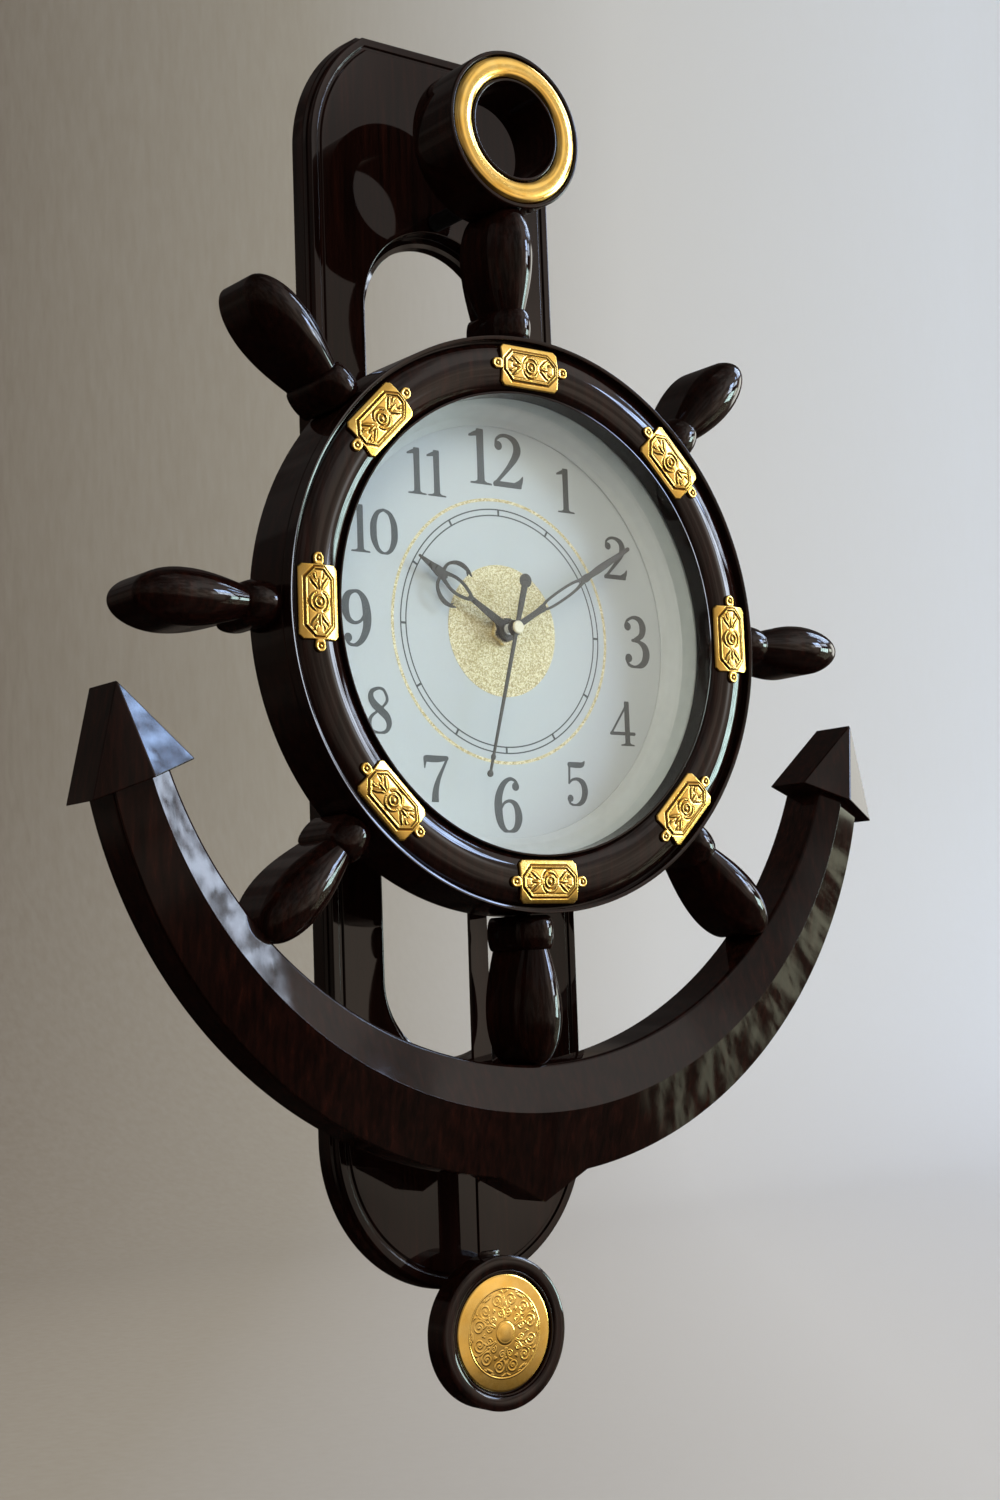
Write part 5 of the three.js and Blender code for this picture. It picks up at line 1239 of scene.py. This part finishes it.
# %% Medallion
def medallion_relief(radius, angle):
    """Height over the seat, and the painted shade that darkens each place in the hollows."""
    sector = 2 * math.pi / SECTORS
    folded = np.abs((angle + sector / 2) % sector - sector / 2)
    nearest = union_field(radius * np.sin(folded), radius * np.cos(folded), SCROLLWORK)
    field = (radius > BUTTON_RADIUS + 0.5) & (radius < CIRCLE_RADIUS - 0.4)
    scroll = np.sin(np.clip(0.4 - nearest / 0.34, 0, 1) * math.pi / 2) * field
    body = 0.6 + 0.9 * np.clip((MEDALLION_RADIUS - radius) / (MEDALLION_RADIUS - BUTTON_RADIUS), 0, 1) ** 0.8
    circles = dome(radius - CIRCLE_RADIUS, 0.32) + 0.8 * dome(radius - BUTTON_RADIUS - 0.1, 0.4)
    groove = dome(radius - CIRCLE_RADIUS + 0.5, 0.28) + dome(radius - BUTTON_RADIUS - 0.65, 0.3)
    button = np.sqrt(np.clip(1 - (radius / BUTTON_RADIUS) ** 2, 0, 1)) * 0.2
    height = body + 0.06 * scroll + 0.07 * circles - 0.03 * groove + button
    # Painted shade beside the scrolls and in the grooves by the circle and the button.
    beside = np.clip(1 - np.abs(nearest - 0.4) / 0.35, 0, 1) * field
    return height, np.clip(0.22 * beside * (1 - scroll) + 0.3 * groove, 0, 0.5)


def medallion_mesh():
    """Rings of relief, the plain edge outside them, a back and a fan of triangles to the middle."""
    sides = MEDALLION_SIDES
    reaches = np.concatenate([np.linspace(0.6, 3.4, 8), np.linspace(3.5, 17.0, 100), np.linspace(17.5, 20.9, 8)])
    angles = np.linspace(0, 2 * math.pi, sides, endpoint=False)
    radius, angle = np.meshgrid(reaches, angles, indexing="ij")
    height, recess_shade = medallion_relief(radius, angle)
    x, z = radius * np.sin(angle), radius * np.cos(angle) + BOB_Z
    points = list(zip(x.ravel(), (height + MEDALLION_OFF).ravel(), z.ravel()))
    edge = [(MEDALLION_RADIUS - 0.08, 0.48), (MEDALLION_RADIUS, 0.35), (MEDALLION_RADIUS, 0.0)]
    for reach, rise in edge:
        points += [(reach * math.sin(a), MEDALLION_OFF + rise, reach * math.cos(a) + BOB_Z) for a in angles]
    rings, top = len(reaches) + len(edge), len(points)
    middle_height = float(medallion_relief(np.zeros(1), np.zeros(1))[0][0])
    points.append((0, middle_height + MEDALLION_OFF, BOB_Z))
    faces = ring_faces(rings, sides) + [tuple(range((rings - 1) * sides, rings * sides))]
    faces += [(side, (side + 1) % sides, top) for side in range(sides)]
    return points, faces, [*recess_shade.ravel(), *[0.0] * (len(points) - recess_shade.size)]


medallion_points, medallion_faces, medallion_recess_shade = medallion_mesh()
make("medallion", medallion_points, medallion_faces, mirror_gold, "pendulum", "gold", "bob_medallion",
     recess_shade=medallion_recess_shade, sharp=70)
print("medallion:", len(medallion_points), "points")

# %% Socket of the rod
socket_rings = [
    [(x, out, BOB_Z + 27.9 + rise) for x, out in round_arc(0, 23.2, 4.9 - shrink, 1.7 - shrink, 47, 0, 352.5)]
    for rise, shrink in ((-0.8, 0.3), (-0.5, 0.0), (1.0, 0.0), (1.4, 0.4))
]
make("rod_socket", *loft(socket_rings), lacquer, "pendulum", "lacquer", sharp=50)
print("socket:", len(socket_rings), "sections")

# %% [markdown]
# ## Works
#
# The battery and the setting knob show from behind, so they get round solids of their own. The rest of the
# works keep their CAD solids and get the finish of what they are made of.

# %% Battery and knob
battery_low, battery_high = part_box("battery")
nub_side = 1 if battery_high.x > -battery_low.x else -1
BATTERY_OFF, BATTERY_Z, CELL_RADIUS, CELL_HALF, NUB_RADIUS = 30.65, WHEEL_Z + 25.5, 7.25, 24.6, 2.7
cell_profile = rounded([
    (0, -CELL_HALF, 0), (6.6, -CELL_HALF, 0.4), (CELL_RADIUS, -24.0, 0.4), (CELL_RADIUS, 23.6, 0.5),
    (6.4, CELL_HALF, 0.5), (NUB_RADIUS, CELL_HALF, 0.2), (NUB_RADIUS, 25.8, 0.4), (0, 25.8, 0),
])
cell_points, cell_faces = turned(cell_profile, z=0, sides=64)
cell_points = [(nub_side * out, BATTERY_OFF + x, z + BATTERY_Z) for x, out, z in cell_points]
make("battery_cell", cell_points, cell_faces, jacket, "battery", "battery_jacket", "battery")

KNOB_REACH, KNOB_RADIUS, KNOB_RIBS, RIB_DEPTH = 8 * math.sin(math.radians(45)), 4.5, 24, 0.28
knob_sides = KNOB_RIBS * 6
knob_rings = []
for out, shrink in ((21.8, 0.35), (22.1, 0.0), (23.9, 0.0), (24.2, 0.3)):
    ring = []
    for sine, cosine in circle(1, knob_sides):
        ribs = 0.5 + 0.5 * math.cos(KNOB_RIBS * math.atan2(sine, cosine))
        radius = KNOB_RADIUS - shrink - RIB_DEPTH * ribs**2
        ring.append((KNOB_REACH + radius * sine, out, WHEEL_Z - KNOB_REACH + radius * cosine))
    knob_rings.append(ring)
make("ribbed_knob", *loft(knob_rings), black_plastic, "setting", "black_plastic", "setting_knob")
print("battery and knob done, the battery's nub to the", "right" if nub_side > 0 else "left")

# %% Materials of the carried-over nodes
carried = {
    steel: ["hanger_plate", "rotor", "stator", "battery_contact_pos", "battery_contact_neg"],
    black_plastic: ["movement_case", "movement_cover"],
    natural_plastic: ["intermediate_wheel", "seconds_wheel", "third_wheel", "centre_wheel", "minute_arbor",
                      "minute_wheel", "hour_wheel", "pendulum_hanger"],
    copper: ["motor_coil", "drive_coil"],
    green_board: ["circuit_board"],
}
for material, names in carried.items():
    for name in names:
        node = nodes[name]
        node.data.materials.clear()
        node.data.materials.append(material)
print(sum(len(names) for names in carried.values()), "nodes keep their CAD solids")

# %% [markdown]
# ## Stage and light
#
# A pale floor runs up into a backdrop in one sweep, with painted shade that darkens it to the left. The lacquer
# is a dark mirror, so the world is a simple room given by direction: pale in front, dark below and to the left,
# with windows and trees to the right. Gloss shows that room, and two soft lamps and the room light the dull surfaces.

# %% Floor and backdrop
FLOOR_Z, FLOOR_FRONT_Y, BACK_Y, BACK_TOP_Z, SWEEP, SWEEP_HALF = -620.0, -3200.0, 2300.0, 3200.0, 700.0, 4500.0
SHADE_LEFT, SHADE_RIGHT, OWN_LIGHT = -1.0, 1.3, 0.36


def stage_finish():
    """A pale finish, warmer and darker to the left as painted shade, with a little light of its own for rays that only
    look.
    """
    made = Finish("pale_sweep", Roughness=0.8)
    # Painted shade: the colour darkens and warms towards the left, as a wall does in the shadow of a corner, and its
    # own light carries that shade too.
    slant = made.node("ShaderNodeVectorMath", made.place, (1.0, -0.75, 0.0), operation="DOT_PRODUCT").outputs["Value"]
    across_share = made.span(slant, 0, 1, SHADE_LEFT, SHADE_RIGHT)
    paint_and_shade = made.ramp(across_share, (0.0, (0.12, 0.09, 0.06)), (0.3, (0.27, 0.23, 0.175)), (0.6, (0.56, 0.535, 0.50)),
                      (1.0, (0.65, 0.655, 0.67)))
    paint_and_shade = made.mix(made.span(made.noise(9, 4, (1, 1, 0.2)), 0.0, 0.12), paint_and_shade, (0.55, 0.53, 0.48))
    made.color(paint_and_shade)
    made.into("Emission Color", paint_and_shade)
    rays = made.node("ShaderNodeLightPath").outputs
    looks = rays["Is Camera Ray"]
    for kind in ("Is Glossy Ray", "Is Transmission Ray"):
        looks = made.node("ShaderNodeMath", looks, rays[kind], operation="MAXIMUM").outputs[0]
    made.into("Emission Strength", made.span(looks, 0.0, OWN_LIGHT))
    made.bump(made.noise(3, 3), 0.05)
    return made.material


sweep_section = [(FLOOR_FRONT_Y, FLOOR_Z), (-1500.0, FLOOR_Z), (0.0, FLOOR_Z)]
sweep_section += round_arc(BACK_Y - SWEEP, FLOOR_Z + SWEEP, SWEEP, SWEEP, 24, -90, 0)
sweep_section += [(BACK_Y, 1500.0), (BACK_Y, BACK_TOP_Z)]
sweep_mesh = bpy.data.meshes.new("sweep")
sweep_points = [(x * MM, y * MM, z * MM) for y, z in sweep_section for x in (-SWEEP_HALF, SWEEP_HALF)]
sweep_mesh.from_pydata(sweep_points, [], [
    (2 * row, 2 * row + 1, 2 * row + 3, 2 * row + 2) for row in range(len(sweep_section) - 1)
])
sweep_mesh.polygons.foreach_set("use_smooth", [True] * len(sweep_mesh.polygons))
sweep_mesh.materials.append(stage_finish())
sweep = bpy.data.objects.new("sweep", sweep_mesh)
sweep.visible_glossy = False
bpy.context.scene.collection.objects.link(sweep)
print("sweep:", len(sweep_points), "points")

# %% Lamps
AIM = Vector((0.0, -0.05, -0.19))
for name, place, size_x, size_y, watts, color in (
    ("above_left", (-1.2, -2.0, 1.0), 1.3, 1.0, 15, (1.0, 0.97, 0.80)),
    ("behind", (-0.6, 1.9, 0.9), 1.4, 1.0, 22, (1.0, 0.98, 0.95)),
):
    data = bpy.data.lights.new(name, "AREA")
    data.shape = "RECTANGLE"
    data.size, data.size_y = size_x, size_y
    data.energy = watts
    data.color = color
    lamp = bpy.data.objects.new(name, data)
    lamp.location = place
    lamp.rotation_euler = (AIM - Vector(place)).to_track_quat("-Z", "Y").to_euler()
    lamp.visible_camera = False
    lamp.visible_glossy = False
    bpy.context.scene.collection.objects.link(lamp)
print(len(bpy.data.lights), "lamps")

# %% [markdown]
# The room is built up from soft-edged areas in azimuth (from the front, to the right) and elevation, both in
# degrees. The panes are mottled, as sky and trees are.

# %% Directions of the world
world = bpy.data.worlds.new("room")
bpy.context.scene.world = world
world.use_nodes = True
sky = world.node_tree
sky.nodes.clear()


def sky_node(kind, *sources, output=0, **settings):
    return add_node(sky, kind, *sources, **settings).outputs[output]


def calculated(operation, *sources):
    return sky_node("ShaderNodeMath", *sources, operation=operation)


compass = sky_node("ShaderNodeTexCoord", output="Generated")
across, inward, upward = add_node(sky, "ShaderNodeSeparateXYZ", compass).outputs
toward = calculated("MULTIPLY", inward, -1.0)
azimuth = calculated("MULTIPLY", calculated("ARCTAN2", across, toward), 180 / math.pi)
elevation = calculated("MULTIPLY", calculated("ARCSINE", upward), 180 / math.pi)


# %% Areas and shades of the world
def rising(source, edge, soft, low=0.0, high=1.0):
    """Low before an edge and high after it, with a soft step."""
    return sky_node("ShaderNodeMapRange", source, edge - soft, edge + soft, low, high, interpolation_type="SMOOTHSTEP")


def product(first, *others):
    for other in others:
        first = calculated("MULTIPLY", first, other)
    return first


def area(first_azimuth, last_azimuth, foot, head, soft):
    """One within the sides, foot and head of an area, and nought outside."""
    return product(
        product(rising(azimuth, first_azimuth, soft), rising(azimuth, last_azimuth, soft, 1.0, 0.0)),
        product(rising(elevation, foot, soft), rising(elevation, head, soft, 1.0, 0.0)),
    )


def by_angle(source, reach, *stops):
    """A grey value by angle from -reach to reach, through (angle, value) stops."""
    share = sky_node("ShaderNodeMapRange", source, -reach, reach, 0.0, 1.0)
    return color_ramp(sky, share, [((angle + reach) / (2 * reach), (value,) * 3) for angle, value in stops], "EASE")


def pattern(scale, detail, roughness, start, end, low, high, interpolation="LINEAR"):
    """A noise over the directions, spread from its start and end to low and high."""
    noise = sky_node("ShaderNodeTexNoise", compass, None, scale, detail, roughness)
    return sky_node("ShaderNodeMapRange", noise, start, end, low, high, interpolation_type=interpolation)


def blend(kind, factor, first, second):
    return mix_colors(sky, kind, factor, first, second)


# %% Room
room = blend(
    "MULTIPLY", 1.0,
    by_angle(elevation, 90, (-90, 0.05), (-20, 0.07), (-15.5, 0.2), (-9, 0.68), (-4, 0.8), (0, 0.85), (10, 0.9),
             (22, 0.95), (35, 0.88), (50, 0.55), (65, 0.3)),
    by_angle(azimuth, 180, (-180, 0.08), (-90, 0.10), (-30, 0.2), (0, 0.3), (11, 0.48), (20, 0.75), (28, 0.95),
             (34, 1.0), (60, 0.9), (80, 0.5), (120, 0.08)),
)
WALL_TINT, CEILING_TINT = (1.08, 0.90, 0.74), (1.02, 0.93, 0.86)
room = blend("MULTIPLY", 1.0, room, blend("MIX", rising(elevation, 18.0, 4.0), WALL_TINT, CEILING_TINT))
room = blend("MIX", area(59.0, 76, 8.0, 14.8, 0.5), room, (0.08, 0.065, 0.06))
room = blend("MIX", area(53.0, 85, -30, 0, 2.0), room, (0.09, 0.06, 0.045))
room = blend("MULTIPLY", 1.0, room, pattern(4.5, 3.0, 0.5, 0.42, 0.58, 0.62, 1.2, "SMOOTHSTEP"))

# %% Window, with sky, branches and leaves
mottle = pattern(34.0, 6.0, 0.65, 0.40, 0.60, 0.3, 1.6)
branches = product(mottle, pattern(80.0, 6.0, 0.65, 0.44, 0.60, 0.12, 1.35))
leaves = pattern(46.0, 6.0, 0.7, 0.49, 0.66, 0.0, 2.8)
bars = rising(calculated("PINGPONG", azimuth, 2.3), 0.4, 0.15)
for sides_and_ends, masks, color in (
    ((47.5, 58.5, 17, 25.0, 0.4), [mottle], (14.0, 18.5, 28.0)),
    ((47.5, 58.5, 9, 16.2, 0.5), [mottle], (15.0, 17.0, 20.0)),
    ((60.5, 75.0, 14.9, 22.0, 0.4), [branches], (9.4, 11.0, 13.6)),
    ((65.0, 69.7, 27.2, 33.2, 0.4), [branches], (8.0, 12.0, 20.0)),
    ((56, 72.5, -4.5, 7.2, 0.5), [bars, mottle], (14.0, 19.0, 18.5)),
    ((42, 47, 6, 15, 2.0), [], (2.2, 2.3, 2.3)),
    ((55, 84, -23, 1, 1.5), [leaves], (1.25, 1.3, 0.95)),
    ((76, 101, 25, 46, 2.0), [branches], (8.0, 10.0, 13.5)),
    ((76, 86, 1.0, 9, 1.0), [], (5.0, 5.4, 4.6)),
    ((89, 106, -4, 20, 2.0), [], (2.9, 2.9, 2.7)),
):
    room = blend("ADD", product(area(*sides_and_ends), *masks), room, color)

# %% Background
rays = add_node(sky, "ShaderNodeLightPath").outputs
pale = calculated("MAXIMUM", rays["Is Camera Ray"], rays["Is Transmission Ray"])
background = sky_node("ShaderNodeBackground", blend("MIX", pale, room, (0.62, 0.61, 0.60)), 1.0)
add_node(sky, "ShaderNodeOutputWorld", background)
print("world nodes:", len(sky.nodes))
